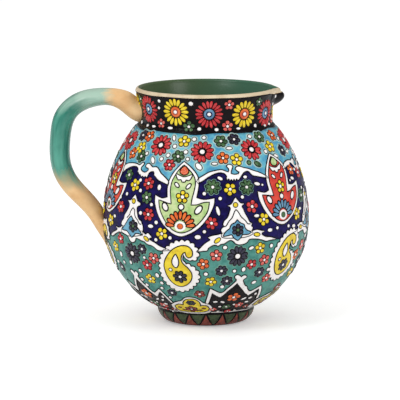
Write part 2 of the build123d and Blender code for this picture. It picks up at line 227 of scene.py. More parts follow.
# Looks: scales of noise, spans of ramps and screen colours
POOL_SCALE = 190.0
POOL_SPAN = (0.36, 0.62)
PIT_SCALE = 420.0
PIT_RELIEF = (0.3, 0.0012)
PLAIN_DETAIL = 3.0
CLAY_NOISE = (90.0, 6.0)
CLAY_SPAN = (0.3, 0.7)
CLAY_TONES = ((196, 138, 84), (224, 170, 112))
CLAY_GRIT = 1400.0
CLAY_RELIEF = (0.35, 0.0004)
CLAY_ROUGH = 0.72
CREAM_TONES = ((206, 184, 150), (226, 208, 176))
POT_NOISE = (120.0, 5.0)
POT_GRIT = 900.0
POT_RELIEF = (0.2, 0.0005)
POT_ROUGH = 0.28
LIP_SHOWS = 195.7
LIP_SPAN = (0.2, 0.5)
INSIDE_SPAN = (0.0, 0.012)
OUTER_SPAN = (0.0, 0.008)
GLAZE_NOISE = (30.0, 2.0)
GLAZE_WAVE = 0.05
GLAZE_SPREAD = 7.0
GLAZE_MIDDLE = 0.5
GLAZE_SPAN = (0.1, 0.45, 0.9)
GLAZE_TONES = ((98, 108, 66), (68, 92, 58), (62, 108, 84))
STRAP_NOISE = (60.0, 4.0)
STRAP_WAVE = 0.02
STRAP_REACH = -5.0
STRAP_REACH_SPAN = (0.285, 0.325)
STRAP_TALL = 4.0
STRAP_TALL_SPAN = (0.53, 0.6)
# The handle's painted highlight: a ramp by height that mixes a pale colour into the glaze on the top of
# its bend
STRAP_HIGHLIGHT_RAMP = ((0.79, [0, 0, 0, 1]), (0.86, [0.75, 0.75, 0.75, 1]))
STRAP_ROUGH = ((0.0, [0.6, 0.6, 0.6, 1]), (1.0, [0.26, 0.26, 0.26, 1]))
STRAP_CLAY = ((224, 172, 112), (244, 206, 152))
STRAP_GLAZE = ((36, 116, 100), (84, 164, 144))
STRAP_GLAZE_SPAN = (0.34, 0.66)
# The pale colour of the handle's painted highlight
STRAP_HIGHLIGHT_COLOUR = (188, 212, 194)
STRAP_RELIEF = (0.3, 0.0006)
BRUSH_SCALE = 1.0
BRUSH_STRETCH = (28, 260, 28)

# Floor, light and camera, in metres and watts
FLOOR_SIZE = 14.0
FLOOR_BACK = 2.0
FLOOR_COLOUR = (0.93, 0.93, 0.93, 1)
FLOOR_ROUGH = 0.6
FLOOR_SHINE = 0.2
FLOOR_LIFT = 0.3
SKY = 0.84
SKY_RAYS = (("Is Glossy Ray", 0.2), ("Is Camera Ray", 1.0))
LAMPS = (("key", (-1.1, -1.2, 1.7), 12), ("fill", (1.5, -1.1, 1.1), 6))
LAMP_SIZE = 0.9
LAMP_TARGET = (0, 0, 0.11)
CAMERA_AIM = Vector((-0.005, 0, 0.103))
CAMERA_DISTANCE = 3.0
CAMERA_RISE = math.radians(8.8)
CAMERA_VIEW = 0.34
SENSOR = 36

random.seed(11)


def tangent_radius(across, along):
    """The radius of an arc that leaves the vertical and moves this far across and along it."""
    return (across * across + along * along) / (2 * across)


UPPER_ARC = tangent_radius(GLOBE_R - NECK_R, SHOULDER_Z - GIRTH_Z)
LOWER_ARC = tangent_radius(GLOBE_R - FLOOR_R, GIRTH_Z - UNDERSIDE_Z)
FLARE_ARC = tangent_radius(LIP_R - NECK_R, LIP_Z - FLARE_Z)


def clay_radius(z):
    """The clay's outer radius at a height."""
    if z < JOINT_Z:
        return REST_R + math.sqrt(max(ROUNDING**2 - (ROUNDING - max(z, 0)) ** 2, 0))
    if z < SHOULDER_Z:
        arc = UPPER_ARC if z > GIRTH_Z else LOWER_ARC
        return GLOBE_R - arc + math.sqrt(arc**2 - (z - GIRTH_Z) ** 2)
    return NECK_R + FLARE_ARC - math.sqrt(FLARE_ARC**2 - max(z - FLARE_Z, 0) ** 2)


def blurred_radius(z):
    """The same, with the inside corners of the foot and the shoulder filled a little."""
    near = min(abs(z - SHOULDER_Z), abs(z - JOINT_Z))
    blur = CORNER_BLUR * max(0, 1 - near / CORNER_REACH)
    steps = [clay_radius(z + blur * i / BLUR_STEPS) for i in range(-BLUR_STEPS, BLUR_STEPS + 1)]
    return sum(steps) / len(steps)


RADII = [blurred_radius(TABLE_STEP * i) for i in range(int(TABLE_TOP / TABLE_STEP) + 2)]
ARCS = [0.0]
for low_radius, high_radius in zip(RADII, RADII[1:]):
    ARCS.append(ARCS[-1] + math.hypot(high_radius - low_radius, TABLE_STEP))


def read_table(table, z):
    """A table's value at a height, between its steps."""
    at = min(max(z / TABLE_STEP, 0), len(table) - 1.001)
    i = int(at)
    return table[i] + (table[i + 1] - table[i]) * (at - i)


def height_at(arc):
    """The height at a distance along the wall."""
    i = min(max(bisect.bisect_right(ARCS, arc) - 1, 0), len(ARCS) - 2)
    return TABLE_STEP * (i + (arc - ARCS[i]) / (ARCS[i + 1] - ARCS[i]))


def read_swell(neck):
    """How far the beak's solid stands out of the plain neck, on a grid of angles and heights."""
    mesh = neck.data
    tree = BVHTree.FromPolygons(
        [tuple(v.co) for v in mesh.vertices], [tuple(p.vertices) for p in mesh.polygons]
    )
    rows = []
    for i in range(int((SWELL_TO - SWELL_FROM) / SWELL_STEP) + 1):
        angle = math.radians(SWELL_FROM + SWELL_STEP * i)
        way = Vector((math.sin(angle), -math.cos(angle), 0))
        row = []
        for z in range(int(SWELL_LOW), int(SWELL_HIGH) + 1):
            start = way * RAY_START * MM + Vector((0, 0, z * MM))
            hit = tree.ray_cast(start, -way)[0]
            radius = math.hypot(hit.x, hit.y) / MM if hit else clay_radius(z)
            row.append(max(radius - clay_radius(z), 0))
        rows.append(row)
    return rows


def swell(theta, z):
    """The beak's swell at a place."""
    turn = (theta + 180) % 360 - 180
    if not SWELL_FROM < turn < SWELL_TO or z <= SWELL_LOW:
        return 0.0
    across = (turn - SWELL_FROM) / SWELL_STEP
    up = min(z - SWELL_LOW, SWELL_HIGH - SWELL_LOW - 0.001)
    i, j = int(across), int(up)
    a, b = across - i, up - j
    low = SWELLS[i][j] * (1 - a) + SWELLS[i + 1][j] * a
    high = SWELLS[i][j + 1] * (1 - a) + SWELLS[i + 1][j + 1] * a
    return low * (1 - b) + high * b


def clay_point(theta, z):
    """A point of the clay's outside."""
    radius = read_table(RADII, z) + swell(theta, z)
    angle = math.radians(theta)
    return Vector((radius * math.sin(angle), -radius * math.cos(angle), z))


def on_wall(theta, z, rise):
    """A point over the clay by some rise, along the wall's normal."""
    point = clay_point(theta, z)
    along = clay_point(theta + ANGLE_STEP, z) - clay_point(theta - ANGLE_STEP, z)
    up = clay_point(theta, z + TABLE_STEP) - clay_point(theta, z - TABLE_STEP)
    return (point + along.cross(up).normalized() * rise) * MM


class Chart:
    """A sheet laid on the wall round a place: u runs round the jug and v up its wall."""

    def __init__(self, theta, z):
        self.theta = theta
        self.base = read_table(ARCS, z)

    def local(self, theta, z):
        u = math.radians(theta - self.theta) * read_table(RADII, z)
        return (u, read_table(ARCS, z) - self.base)

    def place(self, u, v, rise):
        z = height_at(self.base + v)
        theta = self.theta + math.degrees(u / read_table(RADII, z))
        return on_wall(theta, z, rise)


class Coat:
    """All the strokes of one colour that go into one piece, and the nodes it stands for, if any."""

    def __init__(self, name, colour, *nodes):
        self.name = name
        self.material, self.slot = ENAMELS[colour]
        self.nodes = nodes
        self.points = []
        self.faces = []
        COATS.append(self)

    def add(self, points, faces):
        start = len(self.points)
        self.points += points
        self.faces += [[start + i for i in face] for face in faces]

    def make(self):
        mesh = bpy.data.meshes.new(self.name)
        mesh.from_pydata([tuple(p) for p in self.points], [], self.faces)
        mesh.update()
        mesh.polygons.foreach_set("use_smooth", [True] * len(mesh.polygons))
        piece = bpy.data.objects.new(self.name, mesh)
        bpy.context.collection.objects.link(piece)
        mesh.materials.append(self.material)
        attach(piece, "root")
        if self.nodes:
            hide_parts(*self.nodes)


COATS = []
ENAMELS = {}


def bead(coat, chart, u, v, size, angle=0, low=ON_CLAY, high=DOT_TOP, taper=0.0,
         sides=BEAD_SIDES, rings=DOME_SHARES):
    """A domed stroke: an ellipse of some half length and half width, wider at one end."""
    length, width = size
    turn = math.radians(angle)
    cos, sin = math.cos(turn), math.sin(turn)
    points = []
    for share, lift in rings:
        for i in range(sides):
            step = 2 * math.pi * i / sides
            a = share * length * math.cos(step)
            b = share * width * math.sin(step) * (1 + taper * math.cos(step))
            rise = low + (high - low) * lift
            points.append(chart.place(u + a * cos - b * sin, v + a * sin + b * cos, rise))
    points.append(chart.place(u, v, high))
    points.append(chart.place(u, v, low))
    faces = []
    for i in range(sides):
        j = (i + 1) % sides
        for ring in range(len(rings) - 1):
            a, b = ring * sides, (ring + 1) * sides
            faces.append((a + i, a + j, b + j, b + i))
        last = (len(rings) - 1) * sides
        faces.append((last + i, last + j, len(points) - 2))
        faces.append((j, i, len(points) - 1))
    coat.add(points, faces)


def plate(coat, chart, u, v, size, angle=0, low=ON_GROUND, margin=PLATE_MARGIN, taper=0.0):
    """A flat plate that shows round a bead of this size."""
    under = (size[0] + margin, size[1] + margin)
    levels = (low - PLATE_DEPTH, low + PLATE_RISE)
    bead(coat, chart, u, v, under, angle, *levels, taper, rings=PLATE_SHARES)


def plated(coat, chart, u, v, size, angle=0, low=ON_GROUND, high=DOT_TOP, taper=0.0):
    """A bead on a dark plate that shows round it."""
    plate(PLATES, chart, u, v, size, angle, low, PLATE_MARGIN, taper)
    bead(coat, chart, u, v, size, angle, low, high, taper)


def smooth(outline, closed=True):
    """Points along a smooth curve through an outline, whose third number marks a corner."""
    count = len(outline)
    spots = [Vector(p[:2]) for p in outline]
    sharp = [len(p) > 2 for p in outline]
    points = []
    for i in range(count if closed else count - 1):
        a, b = spots[i], spots[(i + 1) % count]
        gap = (b - a).length
        before, after = spots[i - 1], spots[(i + 2) % count]
        leave = (b - a) if sharp[i] or (not closed and i == 0) else (
            (b - before) * gap / (gap + (a - before).length)
        )
        last = not closed and i == count - 2
        reach = (b - a) if sharp[(i + 1) % count] or last else (
            (after - a) * gap / (gap + (after - b).length)
        )
        steps = max(1, round(gap / STROKE_STEP))
        for step in range(steps):
            t = step / steps
            s = 1 - t
            points.append(
                a * (s * s * (1 + 2 * t)) + b * (t * t * (3 - 2 * t))
                + leave * (t * s * s) - reach * (t * t * s)
            )
    if not closed:
        points.append(spots[-1])
    return points


def wound(points):
    """The points of a closed outline, turned the way that keeps its inside on the left."""
    area = sum(a.x * b.y - b.x * a.y for a, b in zip(points, points[1:] + points[:1]))
    return points if area > 0 else points[::-1]


def inset(points, depth):
    """A closed outline moved inwards."""
    moved = []
    for i, point in enumerate(points):
        along = points[(i + 1) % len(points)] - points[i - 1]
        moved.append(point + Vector((-along.y, along.x)).normalized() * depth)
    return moved


def inside(point, outline):
    """Whether a point lies within a closed outline."""
    within = False
    for a, b in zip(outline, outline[1:] + outline[:1]):
        if (a.y > point.y) != (b.y > point.y):
            if point.x < a.x + (b.x - a.x) * (point.y - a.y) / (b.y - a.y):
                within = not within
    return within


def filled(points):
    """Triangles that fill a closed outline, with inner points close enough to follow the wall."""
    corners = list(points)
    low_x, high_x = min(p.x for p in points), max(p.x for p in points)
    low_y, high_y = min(p.y for p in points), max(p.y for p in points)
    for i in range(1, int((high_x - low_x) / GRID_STEP) + 1):
        for j in range(1, int((high_y - low_y) / GRID_STEP) + 1):
            spot = Vector((low_x + i * GRID_STEP, low_y + j * GRID_STEP))
            apart = min((spot - p).length for p in points)
            if inside(spot, points) and apart > GRID_STEP * GRID_CLEAR_SHARE:
                corners.append(spot)
    got = delaunay_2d_cdt(corners, [], [list(range(len(points)))], 1, 1e-5)
    return got[0], [tuple(face) for face in got[2]]


def laid(chart, outline):
    """Places on the jug as points of a chart."""
    return [(*chart.local(p[0], p[1]), *p[2:]) for p in outline]


def fill(coat, chart, outline, low=ON_CLAY, high=WHITE_TOP, edge=WIDE_EDGE, rim=None):
    """A closed patch of enamel with a rounded edge, and a black line round it where asked."""
    patch(coat, chart, wound(smooth(laid(chart, outline))), low, high, edge, rim)


def patch(coat, chart, points, low, high, edge=WIDE_EDGE, rim=None):
    """The same from points on the chart itself."""
    count = len(points)
    bend = inset(points, edge * EDGE_BEND_SHARE)
    rings = [(points, low), (bend, low + (high - low) * EDGE_LIFT_SHARE), (inset(points, edge), high)]
    inner, triangles = filled(rings[-1][0])
    solid = [chart.place(p.x, p.y, rise) for ring, rise in rings for p in ring]
    faces = []
    for ring in range(len(rings) - 1):
        for i in range(count):
            j = (i + 1) % count
            a, b = ring * count, (ring + 1) * count
            faces.append((a + i, a + j, b + j, b + i))
    top = len(solid)
    solid += [chart.place(p.x, p.y, high) for p in inner]
    bottom = len(solid)
    solid += [chart.place(p.x, p.y, low) for p in inner]
    under = len(solid)
    solid += [chart.place(p.x, p.y, low) for p in rings[-1][0]]
    for face in triangles:
        faces.append(tuple(top + i for i in face))
        faces.append(tuple(bottom + i for i in reversed(face)))
    for i in range(count):
        j = (i + 1) % count
        faces.append((j, i, under + i, under + j))
    coat.add(solid, faces)
    if rim:
        stroke(rim, chart, inset(points, -RIM_OUT), True, low, low + RIM_TALL)


def stroke(coat, chart, points, closed, low=ON_CLAY, high=LINE_TOP, half=LINE_HALF):
    """A line of enamel trailed along points of a chart."""
    count = len(points)
    section = [(share, low + (high - low) * lift) for share, lift in LINE_SHARES]
    solid = []
    for i, point in enumerate(points):
        ahead = points[(i + 1) % count] if closed or i < count - 1 else point
        behind = points[i - 1] if closed or i else point
        along = (ahead - behind).normalized()
        side = Vector((-along.y, along.x))
        for share, rise in section:
            spot = point + side * share * half
            solid.append(chart.place(spot.x, spot.y, rise))
    size = len(section)
    faces = []
    for i in range(count if closed else count - 1):
        a, b = size * i, size * ((i + 1) % count)
        for k in range(size):
            m = (k + 1) % size
            faces.append((a + k, a + m, b + m, b + k))
    if not closed:
        faces.append(tuple(range(size)))
        faces.append(tuple(size * (count - 1) + k for k in reversed(range(size))))
    coat.add(solid, faces)


def trail(coat, chart, outline, low=ON_CLAY, high=LINE_TOP):
    """An open line of enamel through places on the jug."""
    stroke(coat, chart, smooth(laid(chart, outline), False), False, low, high)


def skin(coat, lower, upper, rise=SKIN_TOP, row_step=SKIN_ROW):
    """A closed skin of ground colour right round the jug, between two edges."""
    tall = max(upper(c) - lower(c) for c in range(SKIN_COLUMNS))
    rows = max(2, int(tall / row_step) + 1)
    solid = []
    for c in range(SKIN_COLUMNS):
        low, high = lower(c), upper(c)
        for level in (SKIN_LOW, rise):
            for r in range(rows + 1):
                solid.append(on_wall(c, low + (high - low) * r / rows, level))
    faces = []
    outer = rows + 1
    size = 2 * outer
    for c in range(SKIN_COLUMNS):
        a, b = size * c, size * ((c + 1) % SKIN_COLUMNS)
        for r in range(rows):
            faces.append((a + outer + r, b + outer + r, b + outer + r + 1, a + outer + r + 1))
            faces.append((b + r, a + r, a + r + 1, b + r + 1))
        faces.append((a, b, b + outer, a + outer))
        faces.append((b + rows, a + rows, a + outer + rows, b + outer + rows))
    coat.add(solid, faces)


NONE = [0, 0, 0, 1]
FULL = [1, 1, 1, 1]


def linear(colour):
    """A screen colour of 0 to 255 as linear light."""
    shares = [c / 255 for c in colour]
    return [s / 12.92 if s < 0.04045 else ((s + 0.055) / 1.055) ** 2.4 for s in shares] + [1]


class Paint:
    """A material with its nodes and its principled shader."""

    def __init__(self, name):
        self.material = bpy.data.materials.new(name)
        self.material.use_nodes = True
        self.nodes = self.material.node_tree.nodes
        self.links = self.material.node_tree.links
        self.body = self.nodes["Principled BSDF"]

    def feed(self, socket, value):
        """Links a value that varies over the surface, or sets one that doesn't."""
        if isinstance(value, bpy.types.NodeSocket):
            self.links.new(value, socket)
        else:
            socket.default_value = value

    def place(self):
        """The object's own space."""
        return self.nodes.new("ShaderNodeTexCoord").outputs["Object"]

    def axes(self, vector):
        """The three numbers of a vector."""
        split = self.nodes.new("ShaderNodeSeparateXYZ")
        self.feed(split.inputs["Vector"], vector)
        return split.outputs

    def noise(self, scale, detail=PLAIN_DETAIL, vector=None):
        """A noise over the object's own space, or over a vector."""
        noise = self.nodes.new("ShaderNodeTexNoise")
        self.feed(noise.inputs["Scale"], scale)
        self.feed(noise.inputs["Detail"], detail)
        self.feed(noise.inputs["Vector"], self.place() if vector is None else vector)
        return noise.outputs["Fac"]

    def ramp(self, source, *stops):
        """A colour ramp on a value."""
        ramp = self.nodes.new("ShaderNodeValToRGB")
        elements = ramp.color_ramp.elements
        while len(elements) < len(stops):
            elements.new(0.5)
        for element, (at, colour) in zip(elements, stops):
            element.position = at
            element.color = colour
        self.feed(ramp.inputs["Fac"], source)
        return ramp.outputs["Color"]

    def tones(self, source, span, colours):
        """A ramp through screen colours."""
        return self.ramp(source, *zip(span, map(linear, colours)))

    def gate(self, source, span, first=NONE, last=FULL):
        """A ramp from nothing to all over a span."""
        return self.ramp(source, (span[0], first), (span[1], last))

    def math(self, kind, *values):
        """A sum of values that vary over the surface."""
        node = self.nodes.new("ShaderNodeMath")
        node.operation = kind
        for socket, value in zip(node.inputs, values):
            self.feed(socket, value)
        return node.outputs[0]

    def mix(self, share, first, second):
        """One colour over another, by a share that varies over the surface."""
        mix = self.nodes.new("ShaderNodeMix")
        mix.data_type = "RGBA"
        for socket, value in (("Factor", share), ("A", first), ("B", second)):
            self.feed(mix.inputs[socket], value)
        return mix.outputs["Result"]

    def finish(self, colour, rough, source, relief):
        """Gives the shader its colour and roughness, and fine relief of some strength and depth."""
        bump = self.nodes.new("ShaderNodeBump")
        self.feed(bump.inputs["Height"], source)
        for socket, value in zip(("Strength", "Distance"), relief):
            self.feed(bump.inputs[socket], value)
        self.feed(self.body.inputs["Normal"], bump.outputs["Normal"])
        self.feed(self.body.inputs["Base Color"], colour)
        self.feed(self.body.inputs["Roughness"], rough)
        return self.material


def enamel(name, tones, rough, shine):
    """Glossy enamel that pools darker here and there."""
    paint = Paint(name)
    colour = paint.tones(paint.noise(POOL_SCALE), POOL_SPAN, tones)
    paint.feed(paint.body.inputs["Specular IOR Level"], shine)
    return paint.finish(colour, rough, paint.noise(PIT_SCALE), PIT_RELIEF)


def clay(name):
    """Fired clay with faint grit."""
    paint = Paint(name)
    colour = paint.tones(paint.noise(*CLAY_NOISE), CLAY_SPAN, CLAY_TONES)
    return paint.finish(colour, CLAY_ROUGH, paint.noise(CLAY_GRIT), CLAY_RELIEF)


def pot(name):
    """The clay of the globe and neck: glazed inside, cream on the lip, bare on the outside."""
    paint = Paint(name)
    x, y, z = paint.axes(paint.place())
    normal = paint.nodes.new("ShaderNodeNewGeometry").outputs["Normal"]
    facing_x, facing_y, facing_z = paint.axes(normal)
    out_x = paint.math("MULTIPLY", x, facing_x)
    out_y = paint.math("MULTIPLY", y, facing_y)
    outward = paint.math("ADD", out_x, out_y)
    within = paint.gate(outward, INSIDE_SPAN, FULL, NONE)
    cloud = paint.noise(*POT_NOISE)
    bare = paint.tones(cloud, CLAY_SPAN, CLAY_TONES)
    cream = paint.tones(cloud, CLAY_SPAN, CREAM_TONES)
    above = paint.math("GREATER_THAN", z, LIP_SHOWS * MM)
    outside = paint.mix(above, bare, cream)
    wave = paint.math("MULTIPLY", paint.noise(*GLAZE_NOISE), GLAZE_WAVE)
    across = paint.math("ADD", x, wave)
    spread = paint.math("MULTIPLY_ADD", across, GLAZE_SPREAD, GLAZE_MIDDLE)
    glaze = paint.tones(spread, GLAZE_SPAN, GLAZE_TONES)
    colour = paint.mix(within, outside, glaze)
    lip = paint.math("MULTIPLY", paint.gate(facing_z, LIP_SPAN), above)
    lip = paint.math("MULTIPLY", lip, paint.gate(outward, OUTER_SPAN))
    colour = paint.mix(lip, colour, cream)
    return paint.finish(colour, POT_ROUGH, paint.noise(POT_GRIT), POT_RELIEF)


def strap(name):
    """The handle's glaze, brushed on lengthwise, with bare clay at both ends and a painted highlight: a
    pale colour mixed in near the top of its bend.
    """
    paint = Paint(name)
    place = paint.place()
    x, _, z = paint.axes(place)
    cloud = paint.noise(*STRAP_NOISE)
    stretch = paint.nodes.new("ShaderNodeMapping")
    paint.feed(stretch.inputs["Vector"], place)
    paint.feed(stretch.inputs["Scale"], BRUSH_STRETCH)
    brush = paint.noise(BRUSH_SCALE, PLAIN_DETAIL, stretch.outputs["Vector"])
    shift = paint.math("MULTIPLY", paint.math("ADD", cloud, brush), STRAP_WAVE)
    reach = paint.math("MULTIPLY", paint.math("ADD", x, shift), STRAP_REACH)
    tall = paint.math("MULTIPLY", paint.math("ADD", z, shift), STRAP_TALL)
    reached = paint.gate(reach, STRAP_REACH_SPAN)
    share = paint.math("MULTIPLY", reached, paint.gate(tall, STRAP_TALL_SPAN))
    bare = paint.tones(cloud, CLAY_SPAN, STRAP_CLAY)
    glaze = paint.tones(brush, STRAP_GLAZE_SPAN, STRAP_GLAZE)
    # Painted highlight: near the top of the bend the glaze is mixed towards a pale colour, standing in
    # for an overhead light's reflection
    glaze_and_highlight = paint.mix(paint.ramp(tall, *STRAP_HIGHLIGHT_RAMP), glaze, linear(STRAP_HIGHLIGHT_COLOUR))
    colour = paint.mix(share, bare, glaze_and_highlight)
    return paint.finish(colour, paint.ramp(share, *STRAP_ROUGH), brush, STRAP_RELIEF)


def between(points):
    """A function of the angle that joins places round the jug."""
    spots = sorted((angle % 360, z) for angle, z in points)
    spots = [(spots[-1][0] - 360, spots[-1][1])] + spots + [(spots[0][0] + 360, spots[0][1])]

    def edge(angle):
        angle = angle % 360
        for (a, low), (b, high) in zip(spots, spots[1:]):
            if a <= angle <= b:
                return low + (high - low) * (angle - a) / max(b - a, 1e-6)
        return spots[0][1]

    return edge


def flower(coat, theta, z, radius, petals, eye, eye_radius, twist=None, low=ON_GROUND, halo=None):
    """A flower of domed petals round an eye, on a dark plate that shows between the petals."""
    chart = Chart(theta, z)
    inner = radius * next(share for most, share in HEART_SHARES if petals <= most)
    middle, length = (radius + inner) / 2, (radius - inner) / 2
    width = min(math.pi * middle / petals * PETAL_SHARE, length)
    start = random.uniform(0, 360) if twist is None else twist
    heart = radius * HEART_PLATE_SHARE
    plate(PLATES, chart, 0, 0, (heart, heart), 0, low)
    for i in range(petals):
        angle = start + 360 * i / petals + random.uniform(-PETAL_SWING, PETAL_SWING)
        way = math.radians(angle)
        size = (length * random.uniform(*LENGTH_SHARES), width * random.uniform(*WIDTH_SHARES))
        spot = (middle * math.cos(way), middle * math.sin(way))
        if halo:
            plate(halo, chart, *spot, size, angle, low - PALE_DROP, HALO_MARGINS[halo.name])
        plated(coat, chart, *spot, size, angle, low, PETAL_TOP, PETAL_TAPER)
    bead(eye, chart, 0, 0, (eye_radius, eye_radius), 0, low)


def dot(coat, theta, z, long, wide, angle=0.0, low=ON_GROUND, halo=None):
    """A dot or a leaf on its dark plate."""
    chart = Chart(theta, z)
    if halo:
        margin = HALO_MARGINS[halo.name]
        plate(halo, chart, 0, 0, (long, wide), angle, low - PALE_DROP, margin)
    plated(coat, chart, 0, 0, (long, wide), angle, low)


def rosette(theta, z, red):
    """One of the big many-petalled rosettes of the neck."""
    chart = Chart(theta, z)
    coat = NECK_RED if red else NECK_YELLOW
    petals, width = RED_PETALS if red else YELLOW_PETALS
    size = ((ROSETTE_RADIUS - ROSETTE_HEART) / 2, width)
    for i in range(petals):
        angle = 360 * i / petals + random.uniform(-ROSETTE_SWING, ROSETTE_SWING)
        way = math.radians(angle)
        middle = (ROSETTE_RADIUS + ROSETTE_HEART) / 2 + random.uniform(-ROSETTE_SHIFT, ROSETTE_SHIFT)
        spot = (middle * math.cos(way), middle * math.sin(way))
        if swell(theta + math.degrees(spot[0] / NECK_R), z + spot[1]) < BEAK_CLEAR:
            bead(coat, chart, *spot, size, angle, ON_CLAY, ROSETTE_TOP, ROSETTE_TAPER)
    discs = (NECK_BLUE, NECK_NAVY) if red else (NECK_ORANGE, NECK_DARK)
    for disc, (radius, low, high, sides) in zip((*discs, NECK_EYES), DISCS):
        bead(disc, chart, 0, 0, (radius, radius), 0, low, high, 0.0, sides)


def mapped(points, turn):
    """Places moved into another cell."""
    return [(turn(p[0]), *p[1:]) for p in points]


# Outlines, as they lie round the front of the jug

GREEN_LEAF = [
    (-14.3, 146, 1), (-9, 141), (-5.2, 135), (-4.3, 130), (-4.6, 124), (-5.4, 117.6, 1), (-1, 116.2),
    (4.8, 117.4, 1), (4.6, 113), (3.2, 107.5), (1.4, 102.5), (-1.8, 96), (-5, 91.6), (-9, 88),
    (-13.6, 85.6), (-17.6, 87), (-21.2, 90.6), (-24.7, 96), (-27.4, 102.5), (-29, 108), (-30, 113),
    (-30.2, 118.4, 1), (-25.5, 116.2), (-22.4, 117.4, 1), (-22.9, 124), (-22.5, 130), (-20.7, 136),
    (-18, 141),
]
GREEN_FIELD = [
    (-14.1, 143.2, 1), (-10, 138.8), (-7.2, 134), (-6.4, 129), (-7, 123), (-8, 117), (-8.5, 111.5, 1),
    (-5, 111.8), (-1.4, 113.6), (1.8, 114, 1), (0.8, 107), (-1.2, 102), (-4.4, 96.4), (-8.6, 91.4),
    (-13.6, 88.8), (-18.4, 91), (-22, 96.4), (-24.6, 102.2), (-26.4, 108), (-27.4, 114.4, 1),
    (-24, 113.2), (-21.6, 112.2), (-19.6, 111.8, 1), (-20.2, 117.4), (-20.8, 123), (-20.4, 129.6),
    (-18.8, 135), (-16.8, 139.4),
]
BRACKET = [
    (-18.4, 136.4, 1), (-17.8, 133.8), (-16.6, 131.6), (-15, 131.9), (-14.2, 130, 1), (-12.6, 130, 1),
    (-11.8, 131.7), (-10.2, 131.3), (-8.8, 133.6), (-8.2, 136, 1), (-10, 135), (-13.3, 133.8),
    (-16.6, 135.2),
]
DIAMOND = [(-13.3, 142.2), (-10.9, 139.2), (-11, 136.8), (-13.4, 135.4), (-15.8, 137), (-15.9, 139.4)]

UPPER_BAND = [
    (-5.4, 130.4, 1), (-4.7, 132.6), (-1.5, 135.4), (1.8, 137.8), (5.7, 139.1), (9.7, 139.7),
    (12.4, 138.4), (13.9, 137.8), (14.5, 139.2), (14.2, 140.8), (13.1, 142.2, 1), (14.1, 143.6),
    (16, 143.4), (17, 142.2), (16.3, 140.2), (15.6, 138.2), (15.4, 136.4, 1), (17.6, 135.7),
    (20.1, 136, 1), (20.9, 137.5), (19.8, 138.4), (18.6, 140, 1), (19.6, 141.6), (21.6, 141.8),
    (24.4, 140.6), (27.4, 139.6), (30.3, 138), (34.5, 136), (38.7, 133), (40.4, 130.9, 1),
    (35.1, 132.3), (32.1, 133.3), (29.6, 134.1), (28.3, 135.8), (27.4, 137.4), (25.9, 137.9),
    (23.9, 137), (22.5, 135.3), (21.4, 133.7), (20.4, 132.1), (19.4, 131, 1), (18.7, 132.4),
    (17.7, 130.6, 1), (17, 132.2), (16, 130.6, 1), (15.3, 132.1), (14.4, 131, 1), (13.7, 132.6),
    (12.7, 131.5, 1), (12.4, 133), (12.7, 134.6), (12.2, 135.7), (11.2, 136.9), (9, 137.6),
    (6.7, 137.3), (4, 136), (1.2, 134), (-1.5, 131.5), (-4.6, 129.2, 1),
]
UPPER_EDGE = [
    (-9, 129), (-4.6, 130.8), (-1.5, 133.4), (1.5, 135.9), (4, 137.4), (6.5, 138.2), (9.5, 138.5),
    (11.8, 137.3), (13.2, 135.6), (15, 134.2), (17.6, 134), (20, 134.2), (21.5, 136), (23, 138.3),
    (24.5, 139.2), (27, 138.5), (29, 136.6), (31, 135.3), (34, 134.2), (37, 132.8), (39.5, 131.8),
    (43, 130),
]
LEFT_BAND = [
    (-62.2, 137.7, 1), (-59.7, 139.7), (-55.9, 140.8), (-51.7, 141.2), (-48.8, 140.9), (-46.9, 140.4),
    (-45.4, 141.6), (-44.5, 142.8, 1), (-43.1, 142.3), (-43.4, 141), (-44.5, 139.5), (-44.6, 137.6),
    (-43.2, 136), (-40.7, 135.3), (-39, 136.4), (-38.2, 138), (-38.9, 138.9), (-40.4, 139.2, 1),
    (-41.2, 140), (-41.1, 141.4), (-40.1, 142.4), (-38.5, 142.3), (-36.9, 141), (-35.6, 140),
    (-34.1, 140.4), (-32.4, 140.3), (-30.8, 138.8), (-29, 136.2), (-26.5, 133.9), (-24.4, 131.8),
    (-22.6, 129.4), (-22.6, 127, 1), (-24.9, 128.1), (-27.4, 129.3), (-29.3, 130.1), (-30.8, 131.4),
    (-32.1, 132.9), (-33.3, 134), (-33.4, 135.6), (-34, 136.6), (-35.4, 136.7), (-36.9, 135.8),
    (-37.6, 134.3), (-37.9, 132.5), (-38.5, 131.4, 1), (-39.6, 132.4), (-40.6, 131.3, 1),
    (-41.6, 132.4), (-42.6, 131.5, 1), (-43.6, 133), (-44.9, 133.2, 1), (-45.6, 134.4),
    (-46.8, 135.1, 1), (-46.7, 136.8), (-47.4, 138.1), (-49, 138.9), (-51.7, 138.9), (-54.6, 137.9),
    (-57, 136.5), (-59.3, 134.7), (-61, 132.3, 1),
]
LEFT_EDGE = [
    (-64, 134), (-61.8, 135.4), (-59.5, 137.3), (-57, 138.8), (-54.6, 139.5), (-51.7, 140),
    (-49, 139.9), (-47.2, 139.2), (-46, 137.4), (-45.5, 135.6), (-44.4, 134.6), (-42.5, 133.9),
    (-40.3, 133.8), (-38.6, 134.6), (-37.4, 136.8), (-36, 138.2), (-34.5, 138.5), (-33, 138.2),
    (-31.8, 136.4), (-30.5, 134.4), (-28, 132.4), (-25.5, 130.8), (-23, 128.8), (-19, 128),
]

